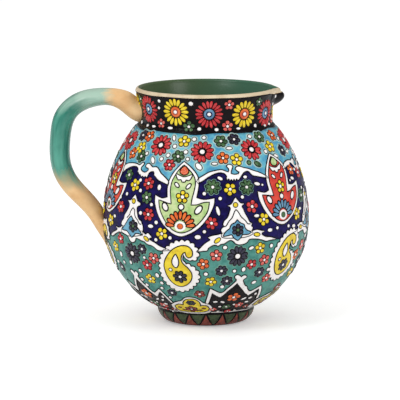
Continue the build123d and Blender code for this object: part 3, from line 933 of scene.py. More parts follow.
TENT = [
    (16.8, 117.6, 1), (15.7, 115.4), (15.1, 113.7), (14.2, 112.2), (11.9, 110.9, 1), (13.4, 110),
    (13.7, 108.3), (13.1, 106.1), (12.5, 103.2), (11.5, 100.7), (10, 98.6), (9.3, 95.6), (10, 94),
    (9, 93.1), (8.1, 91.2), (8.7, 88.8), (8.7, 85.4), (13.4, 84.4), (21.6, 84.6), (26.2, 86.9),
    (25.8, 90), (26.5, 92), (25.4, 93.6), (26, 95.3), (24.6, 96.8), (23.3, 100.6), (21.9, 104.3),
    (21, 107.8), (20.2, 110), (21.9, 112.2, 1), (19.6, 112.8), (18.3, 114.9),
]
CHEVRON = [
    (9.8, 93.9), (11, 94.6), (11.8, 96.6), (12.7, 98.6), (14.1, 100.6), (14.9, 102.7), (15.6, 105.3),
    (16.7, 107.8, 1), (17.9, 105.8), (18.7, 103.8), (19.6, 101.5), (20.8, 99.8), (22.3, 97.6),
    (23.3, 95.5), (24.9, 95.3),
]
STAR = [
    (17.2, 99.2, 1), (16, 96.8), (14.3, 95.8), (13.4, 94), (13, 92.1), (11.8, 90.9), (10.4, 88.9),
    (9.4, 86, 1), (11.8, 86.6), (14.2, 87.2), (15, 84.9), (16.3, 83.3), (17.5, 82.2, 1), (19, 84.2),
    (20.1, 86.8), (21.6, 86.9), (23.7, 87), (25.4, 88.4, 1), (22.6, 90.3), (21.4, 92.6), (21.1, 94.9),
    (19, 96.4),
]
LOWER_BAND = [
    (-5.4, 72.9, 1), (-3.3, 76), (-0.9, 79.7), (1.1, 81.8), (2.3, 83.2), (0.9, 85, 1), (2.8, 86.4),
    (4.7, 87), (6.7, 87.5), (8.6, 88.3), (11.4, 89), (18.4, 88.4), (25.8, 89.3), (29.2, 90),
    (31.4, 89), (34, 88.2, 1), (32.2, 87), (31.9, 85.8), (34.5, 83.4), (38.2, 82.5), (42.2, 80.2, 1),
    (37.4, 79.9), (35.2, 79.5), (32.5, 80.9), (28.7, 82.3), (24.3, 82.4), (23.3, 80.4), (21.7, 78.9),
    (18.6, 78.3), (16.5, 79.3), (14.9, 81.6), (13.4, 82.5), (11.4, 81.2), (9.9, 79.7), (8, 79.3),
    (6.6, 77.8), (5.5, 78.7), (3.9, 78.6), (2.6, 77.6), (1.2, 76), (0.6, 74), (-1.4, 73.6),
    (-3.3, 73.2),
]
LOWER_EDGE = [
    (-9, 73.6), (-5, 73.4), (-3, 74.8), (-1, 76.8), (0.8, 79), (2.8, 81.4), (5, 83), (7, 84),
    (9, 84.6), (12, 85.4), (14, 84), (16, 81.6), (17.6, 80.4), (19.5, 80.6), (21.5, 82), (23.5, 84.5),
    (26, 85.5), (29, 85.5), (32, 84.2), (35, 82), (38, 81.2), (41.5, 80.1), (46, 79),
]
LEFT_TENT = [
    (-44.4, 117, 1), (-46, 114.3), (-47, 112.2), (-49.8, 111.2, 1), (-48.4, 109.6), (-47.9, 107.5),
    (-48.7, 104.4), (-50, 101.6), (-51.4, 98.7), (-51.8, 96), (-53.4, 93.4), (-54, 90.7), (-52.7, 89),
    (-54, 85), (-48.2, 82), (-37.2, 84.6), (-37.1, 87.2), (-36.8, 89.5), (-37, 92.1), (-37.7, 93.8),
    (-38.2, 95.7), (-39.8, 96.9), (-40.9, 99.7), (-41.4, 102.6), (-41.9, 105.1), (-41.6, 107.4),
    (-39.7, 108.6), (-39.7, 110.4), (-41.2, 111.4), (-42, 111.8), (-42.9, 114.2),
]
LEFT_CHEVRON = [
    (-49.1, 97), (-46.9, 100.1), (-46.5, 102.5), (-44.8, 106, 1), (-43.3, 104.2), (-43.2, 101.2),
    (-42.3, 98.4), (-40.6, 96.1), (-39.4, 93.4), (-38.1, 93.2),
]
LEFT_STAR = [
    (-45.7, 98.8, 1), (-47.7, 96), (-49.1, 93.1), (-51, 89.7), (-53.1, 86.7, 1), (-51.1, 86.3),
    (-49.1, 86.3), (-47.3, 84.4), (-46.2, 82.7), (-45.1, 81.3, 1), (-43.4, 83.2), (-42.3, 84.9),
    (-39.7, 85.3), (-37.4, 84.2, 1), (-39, 87.3), (-40.6, 89.7), (-42.3, 92.8), (-44.1, 96.2),
]
LEFT_LOW_BAND = [
    (-66.5, 79.2, 1), (-64.3, 81.4), (-61.3, 83.2), (-58.1, 85.5), (-59.5, 87.8, 1), (-56.2, 87.3),
    (-52.7, 89.4), (-45.8, 86.9), (-37.1, 87.3), (-35.3, 85.2), (-33.6, 86.8, 1), (-32.3, 85.4),
    (-31, 83.2, 1), (-32.9, 81.7), (-31.6, 80.3), (-29.4, 78.9), (-26.7, 76.6), (-24.3, 75.2),
    (-22.2, 74.3), (-20.4, 73.4, 1), (-26.6, 72.4), (-28.3, 73.1), (-30.1, 75.2), (-31.8, 76.3),
    (-33.6, 76.6), (-35, 77.6), (-36.1, 78.9), (-38, 79.4), (-40.2, 80.5), (-42, 81), (-42.6, 79),
    (-43.8, 77.3), (-45.9, 76.9), (-47.2, 78.6), (-48.2, 81.1), (-50, 82.8), (-52.8, 83.2),
    (-55.8, 83.7), (-59.3, 82), (-62.1, 80), (-64.4, 78.4),
]
LEFT_LOW_EDGE = [
    (-68, 78.4), (-65.8, 79.2), (-63, 80.9), (-60, 82.9), (-57, 85), (-54, 86), (-51, 85.6),
    (-49, 83.6), (-47.3, 80.6), (-45.5, 79), (-43.6, 79.4), (-42.2, 82.4), (-39.5, 82.4), (-37, 82),
    (-35, 80.4), (-32, 78.4), (-29.4, 76.6), (-26.5, 74.6), (-23.5, 73.6), (-20, 73.4),
]
PAISLEY = [
    (-11.6, 72.6, 1), (-11.3, 70.6), (-10.9, 68.8), (-10, 67.8), (-8.9, 68), (-8, 69.1), (-7.6, 71.2),
    (-7.8, 73.6), (-8.6, 75.6), (-10, 77.2), (-11.5, 77.8), (-13.2, 77.8), (-15.3, 77), (-17.4, 75.5),
    (-19.6, 73.1), (-21.3, 70.2), (-22.9, 67), (-24.2, 63.3), (-24.8, 60), (-24.8, 56.4),
    (-24.5, 52.8), (-23.8, 49.4), (-22.6, 46.4), (-20.7, 43.6), (-18.2, 41.8), (-15.8, 41.5),
    (-13.3, 42.6), (-11, 44.7), (-9.3, 47.7), (-8.6, 50.7), (-8.7, 53.6), (-9.6, 56.4), (-11.1, 59.2),
    (-12.3, 60.7), (-13.5, 62.6), (-14.2, 64.9), (-14.2, 67.3), (-13.7, 69.7), (-12.8, 71.6),
]
DROP = [
    (-17.1, 70.4, 1), (-16.4, 67.9), (-15.8, 64.8), (-16.1, 61.2), (-17.3, 58.8), (-18.6, 59.5),
    (-19.5, 61.8), (-19.5, 64.5), (-18.5, 67.8),
]
HALO = [
    (-12.7, 70.2, 1), (-12, 67.8), (-10.8, 66.2), (-9.2, 65.6), (-7, 66.2), (-5.3, 68.2), (-4.8, 70.8),
    (-5.4, 74.7), (-7.1, 78.1), (-9.2, 80.5), (-11.2, 81.3), (-13.7, 81.1), (-16.2, 80.5),
    (-18.8, 78.6), (-21.3, 75.7), (-23.3, 72.4), (-25.2, 68.7), (-26.4, 65), (-27.2, 61),
    (-27.6, 56.9), (-27.6, 52.9), (-27.2, 49), (-26.2, 45.6), (-24.7, 42.4), (-22.5, 39.5),
    (-19.8, 37.6), (-17, 37), (-14, 37.8), (-10.6, 39.7), (-8, 42.8), (-5.7, 46.3), (-4.7, 50),
    (-4.9, 53.7), (-6.4, 56.9), (-8.2, 59.4), (-10.4, 61), (-12.2, 62.6), (-13.3, 65), (-13.2, 67.8),
]
ARCH = [
    (-0.4, 24.6, 1), (0.1, 27.8), (1.1, 32.1), (2.1, 37), (2.9, 39.8, 1), (4.8, 38.4), (7.4, 36.6),
    (10, 35.2), (12.4, 36.2), (13.8, 38.4), (15.6, 40.7), (17.9, 43.8), (19.5, 46.9), (18.2, 48.8),
    (17.9, 50.4), (19.1, 51.8), (20.8, 51), (22.2, 49.4, 1), (23.6, 51), (25.5, 50.3), (25.9, 48.9),
    (24.7, 47.6), (23.9, 46.6), (24.7, 44.2), (26.7, 40.9), (28.4, 39.9), (29.2, 38), (31.2, 35.6, 1),
    (33.1, 35), (35.5, 36.3), (38.2, 38.2), (40.2, 39.6, 1), (41.8, 37), (44.2, 32), (46.6, 26.4, 1),
    (44, 26, 1), (42.2, 31), (40.4, 35), (39.6, 36.4, 1), (38, 35.2), (35.4, 32.7), (33, 30.8, 1),
    (28.9, 33.7), (25.3, 37.6), (22.3, 41.1), (20.3, 43.9, 1), (18.8, 41.4), (16.8, 38.9),
    (14.8, 36.4), (12.8, 33.1), (10.3, 30.7, 1), (7.2, 32.6), (4.3, 35.1, 1), (3.7, 31.4),
    (2.9, 27.7), (2, 24.4, 1),
]
ARCH_EDGE = [
    (-0.2, 25), (1, 28), (2.2, 32), (3.4, 36.8), (4.6, 36.6), (7.3, 34.5), (10.2, 32.9), (12.6, 34.6),
    (14.5, 37.6), (17, 40.8), (19, 44), (20.4, 46.6), (22, 45), (23.4, 42), (25.5, 39), (28, 36.4),
    (31, 33.6), (33.2, 32.9), (36, 34.8), (38, 36.7), (39.8, 37.8), (41, 35.8), (43.2, 31.2),
    (45.4, 26.2),
]
CLOUD = [
    (-32.6, 21.6, 1), (-27.8, 24), (-23.2, 25.8), (-19.7, 26.9), (-17.1, 29.3), (-14.1, 30.8),
    (-10.4, 30.7), (-7.3, 29.8), (-4.7, 27.7), (-2.7, 25.6), (0.1, 24.5), (3.2, 23.3), (5.6, 20.4),
    (6, 17), (4.4, 14), (0.2, 12.9), (-6.4, 12.5), (-13.3, 12.4), (-20.2, 12.5), (-27.4, 12.8),
    (-32.6, 14), (-33.6, 18),
]
TREFOIL = [
    (-29, 20.8, 1), (-24.6, 23), (-21.3, 23.1), (-19.6, 22.8, 1), (-18.4, 25.9), (-15.8, 28.3),
    (-12.2, 29.2), (-8.5, 28.9), (-6, 26.9), (-4.9, 24.2), (-4.9, 21.8, 1), (-2.3, 22.8), (0.8, 22.2),
    (3.2, 19.2, 1), (1.7, 16.8), (-2.2, 15.5), (-8.2, 15.1), (-14.8, 15), (-22.1, 15.2), (-27.8, 15.8),
    (-29.4, 18),
]

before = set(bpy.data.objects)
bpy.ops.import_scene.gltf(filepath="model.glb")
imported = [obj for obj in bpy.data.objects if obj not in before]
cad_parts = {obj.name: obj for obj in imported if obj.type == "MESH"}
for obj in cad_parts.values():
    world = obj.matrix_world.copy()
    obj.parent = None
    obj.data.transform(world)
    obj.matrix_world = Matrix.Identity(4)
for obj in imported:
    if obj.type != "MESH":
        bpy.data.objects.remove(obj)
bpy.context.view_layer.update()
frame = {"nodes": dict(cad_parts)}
SWELLS = read_swell(frame["nodes"]["neck_and_beak"])

# The enamels: name, slot, dark and light screen colour, roughness and shine

for name, slot, dark, light, rough, shine in (
    ("black", "black", (12, 9, 12), (20, 14, 18), 0.25, 0.12),
    ("navy", "navy", (14, 8, 56), (26, 18, 90), 0.35, 0.12),
    ("cyan", "cyan", (66, 148, 188), (106, 186, 202), 0.34, 0.35),
    ("teal", "teal", (52, 122, 114), (84, 152, 140), 0.34, 0.3),
    ("white", "white", (246, 240, 238), (252, 250, 248), 0.24, 0.5),
    ("yellow", "yellow", (220, 188, 14), (244, 218, 40), 0.22, 0.5),
    ("red", "red", (176, 26, 36), (212, 58, 60), 0.2, 0.5),
    ("orange", "orange", (212, 76, 24), (236, 118, 48), 0.2, 0.5),
    ("pale", "blue", (140, 178, 180), (176, 204, 198), 0.34, 0.5),
    ("grey_green", "green", (92, 142, 126), (128, 168, 150), 0.34, 0.5),
    ("pale_green", "green", (160, 198, 118), (204, 220, 160), 0.3, 0.5),
    ("flower_green", "green", (38, 76, 42), (80, 118, 72), 0.22, 0.5),
    ("dark_blue", "navy", (24, 22, 40), (44, 42, 66), 0.2, 0.5),
    ("pink", "red", (206, 70, 66), (226, 112, 98), 0.22, 0.5),
    ("leaf_red", "red", (204, 44, 36), (226, 76, 58), 0.3, 0.5),
    ("blue", "blue", (76, 122, 158), (112, 160, 190), 0.24, 0.5),
    ("light_blue", "blue", (78, 140, 176), (110, 174, 200), 0.3, 0.5),
    ("brown_red", "red", (132, 46, 40), (170, 74, 58), 0.24, 0.5),
    ("foot_brown", "red", (110, 42, 34), (146, 66, 52), 0.24, 0.5),
    ("foot_green", "green", (42, 58, 34), (66, 84, 50), 0.24, 0.5),
):
    ENAMELS[name] = (enamel(name + "_enamel", (dark, light), rough, shine), slot + "_enamel")
terracotta = clay("terracotta")

# Coats: the ground skins, the lines and plates, then a piece for each kind of motif

NECK_GROUND = Coat("neck_ground", "black")
SHOULDER_GROUND = Coat("shoulder_ground", "cyan")
BELLY_GROUND = Coat("belly_ground", "navy")
LOWER_GROUND = Coat("lower_ground", "teal")
BASE_GROUND = Coat("base_ground", "black")
FOOT_GROUND = Coat("foot_ground", "black")
LINES = Coat("outlines", "black")
PLATES = Coat("dark_plates", "black")
PALE_PLATES = Coat("pale_plates", "pale")
RIMS = Coat("grey_plates", "grey_green")
NECK_RED = Coat("neck_red_petals", "red", "neck_rosettes_red")
NECK_YELLOW = Coat("neck_yellow_petals", "yellow", "neck_rosettes_yellow")
NECK_EYES = Coat("neck_eyes", "white", "neck_rosette_eyes")
NECK_BLUE = Coat("neck_blue_discs", "blue")
NECK_NAVY = Coat("neck_navy_discs", "navy")
NECK_ORANGE = Coat("neck_orange_discs", "orange")
NECK_DARK = Coat("neck_dark_discs", "brown_red")
NECK_PINK = Coat("neck_pink_flowers", "pink")
SHOULDER_RED = Coat("shoulder_red_petals", "red", "shoulder_rosettes")
LEAVES = Coat("palmette_borders", "white", "palmette_frames")
LEAF_GREEN = Coat("palmette_green", "pale_green", "palmette_fields_green")
LEAF_RED = Coat("palmette_red", "leaf_red", "palmette_fields_red")
UPPER_WHITE = Coat("upper_borders", "white", "upper_scrolls")
TENTS = Coat("tent_borders", "white", "tent_frames")
STARS = Coat("tent_stars", "light_blue", "tent_fields")
LOWER_WHITE = Coat("lower_borders", "white", "lower_festoons")
HALOS = Coat("paisley_halos_white", "white", "paisley_halos")
PAISLEYS = Coat("paisley_drops", "yellow", "paisleys")
BELLY_YELLOW = Coat("belly_yellow_petals", "yellow", "belly_flowers")
LOWER_PINK = Coat("lower_pink_petals", "pink", "lower_flowers")
ARCHES = Coat("arch_borders", "white", "base_arches")
CLOUDS = Coat("cloud_borders", "white", "cloud_frames")
CLOUD_YELLOW = Coat("cloud_lobes", "yellow", "cloud_fields")
FOOT_RED = Coat("foot_red", "foot_brown", "foot_teeth_red")
FOOT_GREEN = Coat("foot_green", "foot_green", "foot_teeth_green")
REDS = Coat("red_petals", "red")
ORANGES = Coat("orange_petals", "orange")
GREENS = Coat("green_petals", "flower_green")
DARKS = Coat("dark_petals", "dark_blue")
BLUES = Coat("blue_petals", "blue")
YELLOWS = Coat("yellow_dots", "yellow")
WHITES = Coat("white_dots", "white")
RUST = Coat("rust_petals", "brown_red")

# The cells of the pattern: the palmettes' angles and the way each cell is turned
GREEN_ANGLES = (-14.3, 107, 229)
RED_PALMETTES = ((47.6, 91.7, 0.96, 1.04, 0.12), (167, 92, 0.96, 1, 0), (289.5, 97.5, 0.87, 0.87, 0))
CELL_WIDTH = 61.8
CELL_STARTS = ((-14.3, 61.8), (107, -59.5), (107, 60), (229, -62), (229, 62))
PAISLEY_ANGLES = (-16.5, 52, 110, 168, 224, 279)
PAISLEY_LIFTS = (0, 5.2, 0, 0, 0, 8.5)
PAISLEY_SIZES = (1, 0.95, 1, 1, 1, 0.95)
LOWER_WIDTH = 66.5
# The base's arches and clouds: the angle of each and its width as a share of the front one's
ARCH_SHARES = ((20, 1), (104, 0.88), (169, 0.88), (234, 0.88), (308, 0.88))
CLOUD_SHARES = ((-13, 1, 0), (66, 1, 3), (137, 0.88, 0), (201, 0.88, 0), (271, 1, 0))


def turned(start, width, first, span):
    """The function that moves an angle of the front's cell into another cell."""
    return lambda a: start + (a - first) * width / span


CELLS = [turned(start, width, GREEN_ANGLES[0], CELL_WIDTH) for start, width in CELL_STARTS]
RIGHT_CELL = CELLS[1]
LOWER_CELLS = []
for start, after in zip(PAISLEY_ANGLES, PAISLEY_ANGLES[1:]):
    LOWER_CELLS.append(turned(start, after - start, PAISLEY_ANGLES[0], LOWER_WIDTH))


def bent(a):
    """How much of a bend an angle of a cell takes, from 0 to 1."""
    return min(max((a - BEND_FROM) / BEND_OVER, 0), 1)


def sagged(centre, a, z):
    """A height of an arch: the left one's right half hangs lower."""
    return z - LEFT_SAG * bent(a) if centre == LEFT_ARCH else z


def scroll(turn, outline):
    """The upper scroll's outline in a cell: at the right edge it runs higher beside the palmette."""
    rise = RIGHT_RISE if turn is RIGHT_CELL else 0
    return mapped([(p[0], p[1] + rise * bent(p[0]), *p[2:]) for p in outline], turn)


# Grounds

upper_points = [p for turn in CELLS for p in scroll(turn, UPPER_EDGE)] + LEFT_EDGE
lower_points = [p for turn in CELLS for p in mapped(LOWER_EDGE, turn)] + LEFT_LOW_EDGE
base_points = []
for centre, share in ARCH_SHARES:
    base_points += [(centre + (a - ARCH_MIDDLE) * share, sagged(centre, a, z)) for a, z in ARCH_EDGE]
upper_edge = between(upper_points)
lower_edge = between(lower_points)
base_edge = between(base_points)


def ripple(angle, height, *waves):
    """The height of a skin's edge, which waves round the jug."""
    return height + sum(size * math.sin(math.radians(angle * count)) for size, count in waves)


def neck_foot(angle):
    """The edge between the shoulder and the neck."""
    return ripple(angle, *NECK_FOOT)


def neck_top(angle):
    """The edge under the lip, which drops at the beak."""
    away = abs((angle - BEAK_ANGLE + 180) % 360 - 180)
    return ripple(angle, *NECK_TOP) - BEAK_DROP * min(2 * max(0.0, 1 - away / BEAK_HALF), 1)


def joint_line(angle):
    """The lower edge of the white line along the foot's joint."""
    return ripple(angle, *JOINT_LINE)


def clear(angle, z, reach):
    """Whether a place of the teal belt is clear of the arches under it."""
    beside = (angle - ARCH_REACH, angle, angle + ARCH_REACH)
    return all(z - base_edge(at) > reach + ARCH_CLEAR for at in beside)


skin(NECK_GROUND, neck_foot, neck_top, SKIN_TOP, NECK_ROW)
skin(SHOULDER_GROUND, upper_edge, neck_foot)
skin(BELLY_GROUND, lower_edge, upper_edge)
skin(LOWER_GROUND, base_edge, lower_edge)
skin(BASE_GROUND, lambda angle: BASE_FOOT, base_edge)
skin(FOOT_GROUND, lambda angle: FOOT_LOW, lambda angle: FOOT_TOP, SKIN_TOP, FOOT_ROW)
skin(ARCHES, joint_line, lambda angle: joint_line(angle) + JOINT_WIDTH, JOINT_TOP)

# The neck

for angle, z, red in (
    (2.7, 183.8, True), (34.6, 182.8, False), (62, 181, True), (93, 183.4, False),
    (122.7, 184, True), (152.7, 183.4, False), (182.7, 184, True), (212.7, 183.4, False),
    (242.7, 184, True), (272.5, 183.8, False), (302.4, 185, True), (333.4, 185, False),
):
    rosette(angle, z, red)
for shift in (0, 120, 240):
    for coat, a, z, radius in (
        (NECK_PINK, -41.7, 174.2, 4.2), (GREENS, -14.7, 173, 5.0), (NECK_PINK, 19.4, 191.6, 4.4),
        (NECK_PINK, 18.6, 173.2, 4.9), (GREENS, 49.6, 192, 3.9),
    ):
        if swell(a + shift, z) < BEAK_CLEAR:
            flower(coat, a + shift, z, radius, 5, NECK_EYES, radius * EYE_SHARE, STAR_TWIST)
    for a, z, long, wide in (
        (-41.8, 193.4, 1.5, 1.5), (-43.2, 187.3, 1.3, 1.3), (-12.5, 192.8, 2.0, 1.9),
        (-5.7, 171.2, 1.7, 1.7), (8.9, 170.6, 1.7, 1.7), (46.9, 171.8, 1.6, 1.8),
        (-59.6, 170.6, 1.6, 1.5), (-50.5, 170.8, 2.4, 1.3), (-31.9, 171, 2.6, 1.4),
        (28.5, 170.8, 1.9, 1.2),
    ):
        if swell(a + shift, z) < BEAK_CLEAR:
            dot(WHITES, a + shift, z, long, wide)

# The shoulder


def shoulder(shift, first, last):
    """The flowers of a stretch of the shoulder, as they lie at the front."""
    kinds = (
        (SHOULDER_RED, 12, 9.5, 2.1, (
            (-71, 157), (-34.5, 157.5), (-2.6, 153.8), (33.5, 154.2), (78, 156.5),
        )),
        (YELLOWS, 5, 5.3, 1.2, ((-16.5, 161.5), (20.5, 147.3), (51.6, 154.7), (-52, 154))),
        (GREENS, 6, 5.3, 1.2, ((-19, 149.8), (11.2, 161.8), (45.3, 163), (-48, 147.3))),
        (DARKS, 6, 5.2, 1.1, ((21.8, 162.8), (64.1, 150), (-57, 163))),
        (ORANGES, 5, 5.1, 1.1, ((11.3, 148.8), (61.2, 162.5), (-49, 163.2), (-58.2, 148.5))),
        (REDS, 6, 5.0, 1.0, ((-24, 143),)),
    )
    for coat, petals, radius, eye, places in kinds:
        for a, z in places:
            if first <= a <= last:
                flower(coat, a + shift, z, radius, petals, WHITES, eye, halo=PALE_PLATES)
    for coat, a, z, long, wide, lean in (
        (WHITES, -9, 163.3, 1.7, 1.7, 0), (WHITES, -1.6, 164.6, 1.5, 1.5, 0),
        (WHITES, -23, 157.4, 1.6, 1.7, 0), (WHITES, -14.1, 153.4, 1.7, 1.7, 0),
        (WHITES, -26.4, 150.2, 1.6, 1.7, 0), (WHITES, -30.6, 147, 1.5, 1.6, 0),
        (WHITES, -12.2, 148, 1.4, 1.4, 0), (WHITES, 45.2, 151.5, 1.7, 1.7, 0),
        (WHITES, 36, 164, 1.8, 1.5, 0), (WHITES, -43.9, 150, 1.5, 1.5, 0),
        (WHITES, -25.3, 163.6, 2.7, 1.3, 110), (WHITES, -37, 145.4, 3.2, 1.6, 120),
        (WHITES, 16.6, 156.2, 2.6, 1.2, 0), (WHITES, 5.5, 144.6, 2.4, 1.0, 0),
        (WHITES, -4.6, 142.4, 3.4, 2.0, 130), (WHITES, 53.5, 147, 2.6, 1.3, -20),
        (WHITES, 71, 148, 2.4, 1.3, 10), (WHITES, 67.5, 159, 1.5, 1.5, 0),
        (GREENS, 28.8, 144.3, 1.7, 1.7, 0), (GREENS, 35, 142.6, 3.2, 1.9, -30),
    ):
        if first <= a <= last:
            dot(coat, a + shift, z, long, wide, lean, halo=PALE_PLATES)


for stretch in ((0, -75, 80), (120, -40, 52), (240, -35, 40)):
    shoulder(*stretch)

# The palmettes: the leaves in one, and the discs of its fan's heart

LEAF_DOTS = (
    (-17.2, 127.4, 2.5, 1.3, 135), (-10.2, 126.6, 2.8, 1.3, 50), (-13.9, 109.9, 2.4, 2.4, 0),
    (-23.2, 109.4, 3.8, 2.3, 120), (-4.2, 107.8, 4.3, 2.3, 52),
)
FAN_DISCS = ((5.6, 5.0, 0.6, 0.72), (5.0, 4.4, 0.66, 0.86), (3.2, 3.0, 0.7, 0.9), (2.7, 2.5, 0.7, 0.96))


def palmette(centre, is_red, foot=LEAF_FOOT, tall=1, wide=1, lean=0):
    """A palmette with its border, field, bracket, flower, leaves and fan."""

    def spot(p):
        across = (p[0] - GREEN_ANGLES[0]) * wide
        return (centre + across, foot + (p[1] - LEAF_FOOT) * tall + lean * across, *p[2:])

    def moved(outline):
        return [spot(p) for p in outline]

    field, tip, fan, eye = (
        (LEAF_RED, LEAF_GREEN, BLUES, GREENS) if is_red else (LEAF_GREEN, ORANGES, ORANGES, ORANGES)
    )
    chart = Chart(centre, spot((0, LEAF_MIDDLE))[1])
    fill(LEAVES, chart, moved(GREEN_LEAF), rim=LINES)
    fill(field, chart, moved(GREEN_FIELD), ON_WHITE, FIELD_TOP, FIELD_EDGE, LINES)
    fill(WHITES, chart, moved(BRACKET), ON_FIELD, MARK_TOP, FINE_EDGE, LINES)
    fill(tip, chart, moved(DIAMOND), ON_FIELD, MARK_TOP, FIELD_EDGE, LINES)
    for a, z, long, half, angle in LEAF_DOTS:
        dot(WHITES, *spot((a, z)), long, half, angle, ON_LEAF)
    flower(YELLOWS, *spot(LEAF_FLOWER), LEAF_FLOWER_RADIUS, 5, WHITES, LEAF_EYE, STAR_TWIST, ON_FIELD)
    chart = Chart(*spot(FAN_PLACE))
    for i in range(FAN_PETALS):
        share = i / (FAN_PETALS - 1)
        angle = FAN_START + FAN_SWEEP * share
        way = math.radians(angle)
        reach = FAN_REACH - FAN_DROOP * abs(2 * share - 1)
        place = (reach * math.cos(way), reach * math.sin(way))
        plated(fan, chart, *place, FAN_PETAL, angle, ON_LEAF, MARK_TOP, FAN_TAPER)
    for coat, (long, half, low, high) in zip((LINES, WHITES, LINES, eye), FAN_DISCS):
        bead(coat, chart, 0, FAN_RISE, (long, half), 0, low, high)


for angle in GREEN_ANGLES:
    palmette(angle, False)
for angle, foot, tall, wide, lean in RED_PALMETTES:
    palmette(angle, True, foot, tall, wide, lean)

# Borders, tents and navy flowers between the palmettes


BELLY_FLOWERS = (
    (BELLY_YELLOW, 5, 14.1, 124.2, 5.3), (BELLY_YELLOW, 5, 33.5, 98, 5.3), (REDS, 6, 3, 97, 5.2),
    (REDS, 5, 26.5, 109.3, 5.4), (GREENS, 8, 3.9, 126.2, 6.1), (GREENS, 8, 24.3, 125.2, 6.0),
)
RIGHT_FLOWERS = (
    (BELLY_YELLOW, 5, 5.4, 127.5, 5.3), (BELLY_YELLOW, 5, 33.5, 98, 5.3), (REDS, 6, 3, 97, 5.2),
    (ORANGES, 5, 30, 134.1, 4.8), (REDS, 5, 19.8, 129.9, 5), (GREENS, 6, 24.1, 111.7, 5.2),
)


def belly(turn, flowers):
    """The navy belt's flowers in one cell."""
    for coat, petals, a, z, radius in flowers:
        flower(coat, turn(a), z, radius, petals, WHITES, BELLY_EYE, halo=RIMS if coat is GREENS else None)
    for a, z, long, wide, lean in (
        (8.4, 133, 2.4, 1.3, -30), (24.2, 133.3, 1.7, 1.3, 0), (6.6, 107, 4, 1.4, 105),
        (-4.5, 85.4, 2.6, 1.8, 0), (31.5, 127.2, 2.8, 1.4, -15), (35, 126, 0.9, 0.9, 0),
        (29, 101.5, 2.4, 1.3, 0), (37.5, 88.5, 2.4, 1.5, 0), (-1, 121, 1.5, 1.5, 0),
        (8, 117, 1.5, 1.5, 0), (-0.9, 90, 1.4, 1.4, 0), (21, 117.5, 1.4, 1.4, 0),
        (42.8, 89.5, 1.4, 1.4, 0),
    ):
        dot(WHITES, turn(a), z, long, wide, lean)


def tent(outline, chevron, star, turn, middle):
    """A white tent with a black chevron, a yellow dot and a star that holds a flower."""
    chart = Chart(turn(middle), TENT_CHART)
    fill(TENTS, chart, mapped(outline, turn), OVER_CLAY, TENT_TOP, rim=LINES)
    fill(STARS, chart, mapped(star, turn), ON_TENT, STAR_TOP, FINE_EDGE, LINES)
    trail(LINES, chart, mapped(chevron, turn), ON_TENT, CHEVRON_TOP)
    aside, z, radius = TENT_DOT
    dot(YELLOWS, turn(middle + aside), z, radius, radius, 0, ON_BAND)
    aside, z, radius = TENT_FLOWER
    flower(DARKS, turn(middle + aside), z, radius, 6, GREENS, TENT_EYE, TENT_TWIST, ON_STAR)


for turn in CELLS:
    chart = Chart(turn(BAND_MIDDLE), BAND_CHART)
    fill(UPPER_WHITE, chart, scroll(turn, UPPER_BAND), rim=LINES)
    fill(LOWER_WHITE, chart, mapped(LOWER_BAND, turn), rim=LINES)
    tent(TENT, CHEVRON, STAR, turn, TENT_MIDDLE)
    for band_dot in mapped(BAND_DOTS, turn):
        dot(YELLOWS, *band_dot, ON_BAND)
    belly(turn, RIGHT_FLOWERS if turn is RIGHT_CELL else BELLY_FLOWERS)

left_chart = Chart(LEFT_BAND_MIDDLE, BAND_CHART)
fill(UPPER_WHITE, left_chart, LEFT_BAND, rim=LINES)
fill(LOWER_WHITE, left_chart, LEFT_LOW_BAND, rim=LINES)
tent(LEFT_TENT, LEFT_CHEVRON, LEFT_STAR, lambda a: a, LEFT_TENT_MIDDLE)
dot(YELLOWS, *LEFT_BAND_DOT, ON_BAND)
for coat, a, z, radius in (
    (BELLY_YELLOW, -46, 124.4, 5.3), (BELLY_YELLOW, -24.8, 87, 5.2), (BELLY_YELLOW, -66, 91.5, 5.2),
    (REDS, -35.9, 127, 5.4), (REDS, -33.6, 102, 5.4), (REDS, -55.5, 105, 5.2),
    (GREENS, -35.7, 115.6, 5.2), (GREENS, -53.5, 131.5, 5.0),
):
    flower(coat, a, z, radius, 5 if coat is BELLY_YELLOW else 6, WHITES, BELLY_EYE)
for a, z, long, wide in (
    (-28.2, 124.7, 1.6, 2.4), (-31.8, 92.5, 2.6, 1.5), (-42.5, 128.8, 1.5, 1.5), (-41, 120.6, 1.6, 1.6),
    (-32, 110.3, 1.5, 1.5), (-38.9, 102.5, 1.6, 1.6), (-28.3, 96, 1.6, 1.6), (-28.5, 81.5, 1.5, 1.5),
    (-20, 84, 1.5, 1.5), (-51.5, 116.3, 1.5, 1.5), (-61.2, 96, 2.0, 1.4), (-57, 113, 1.4, 1.8),
):
    dot(WHITES, a, z, long, wide)

# Paisleys


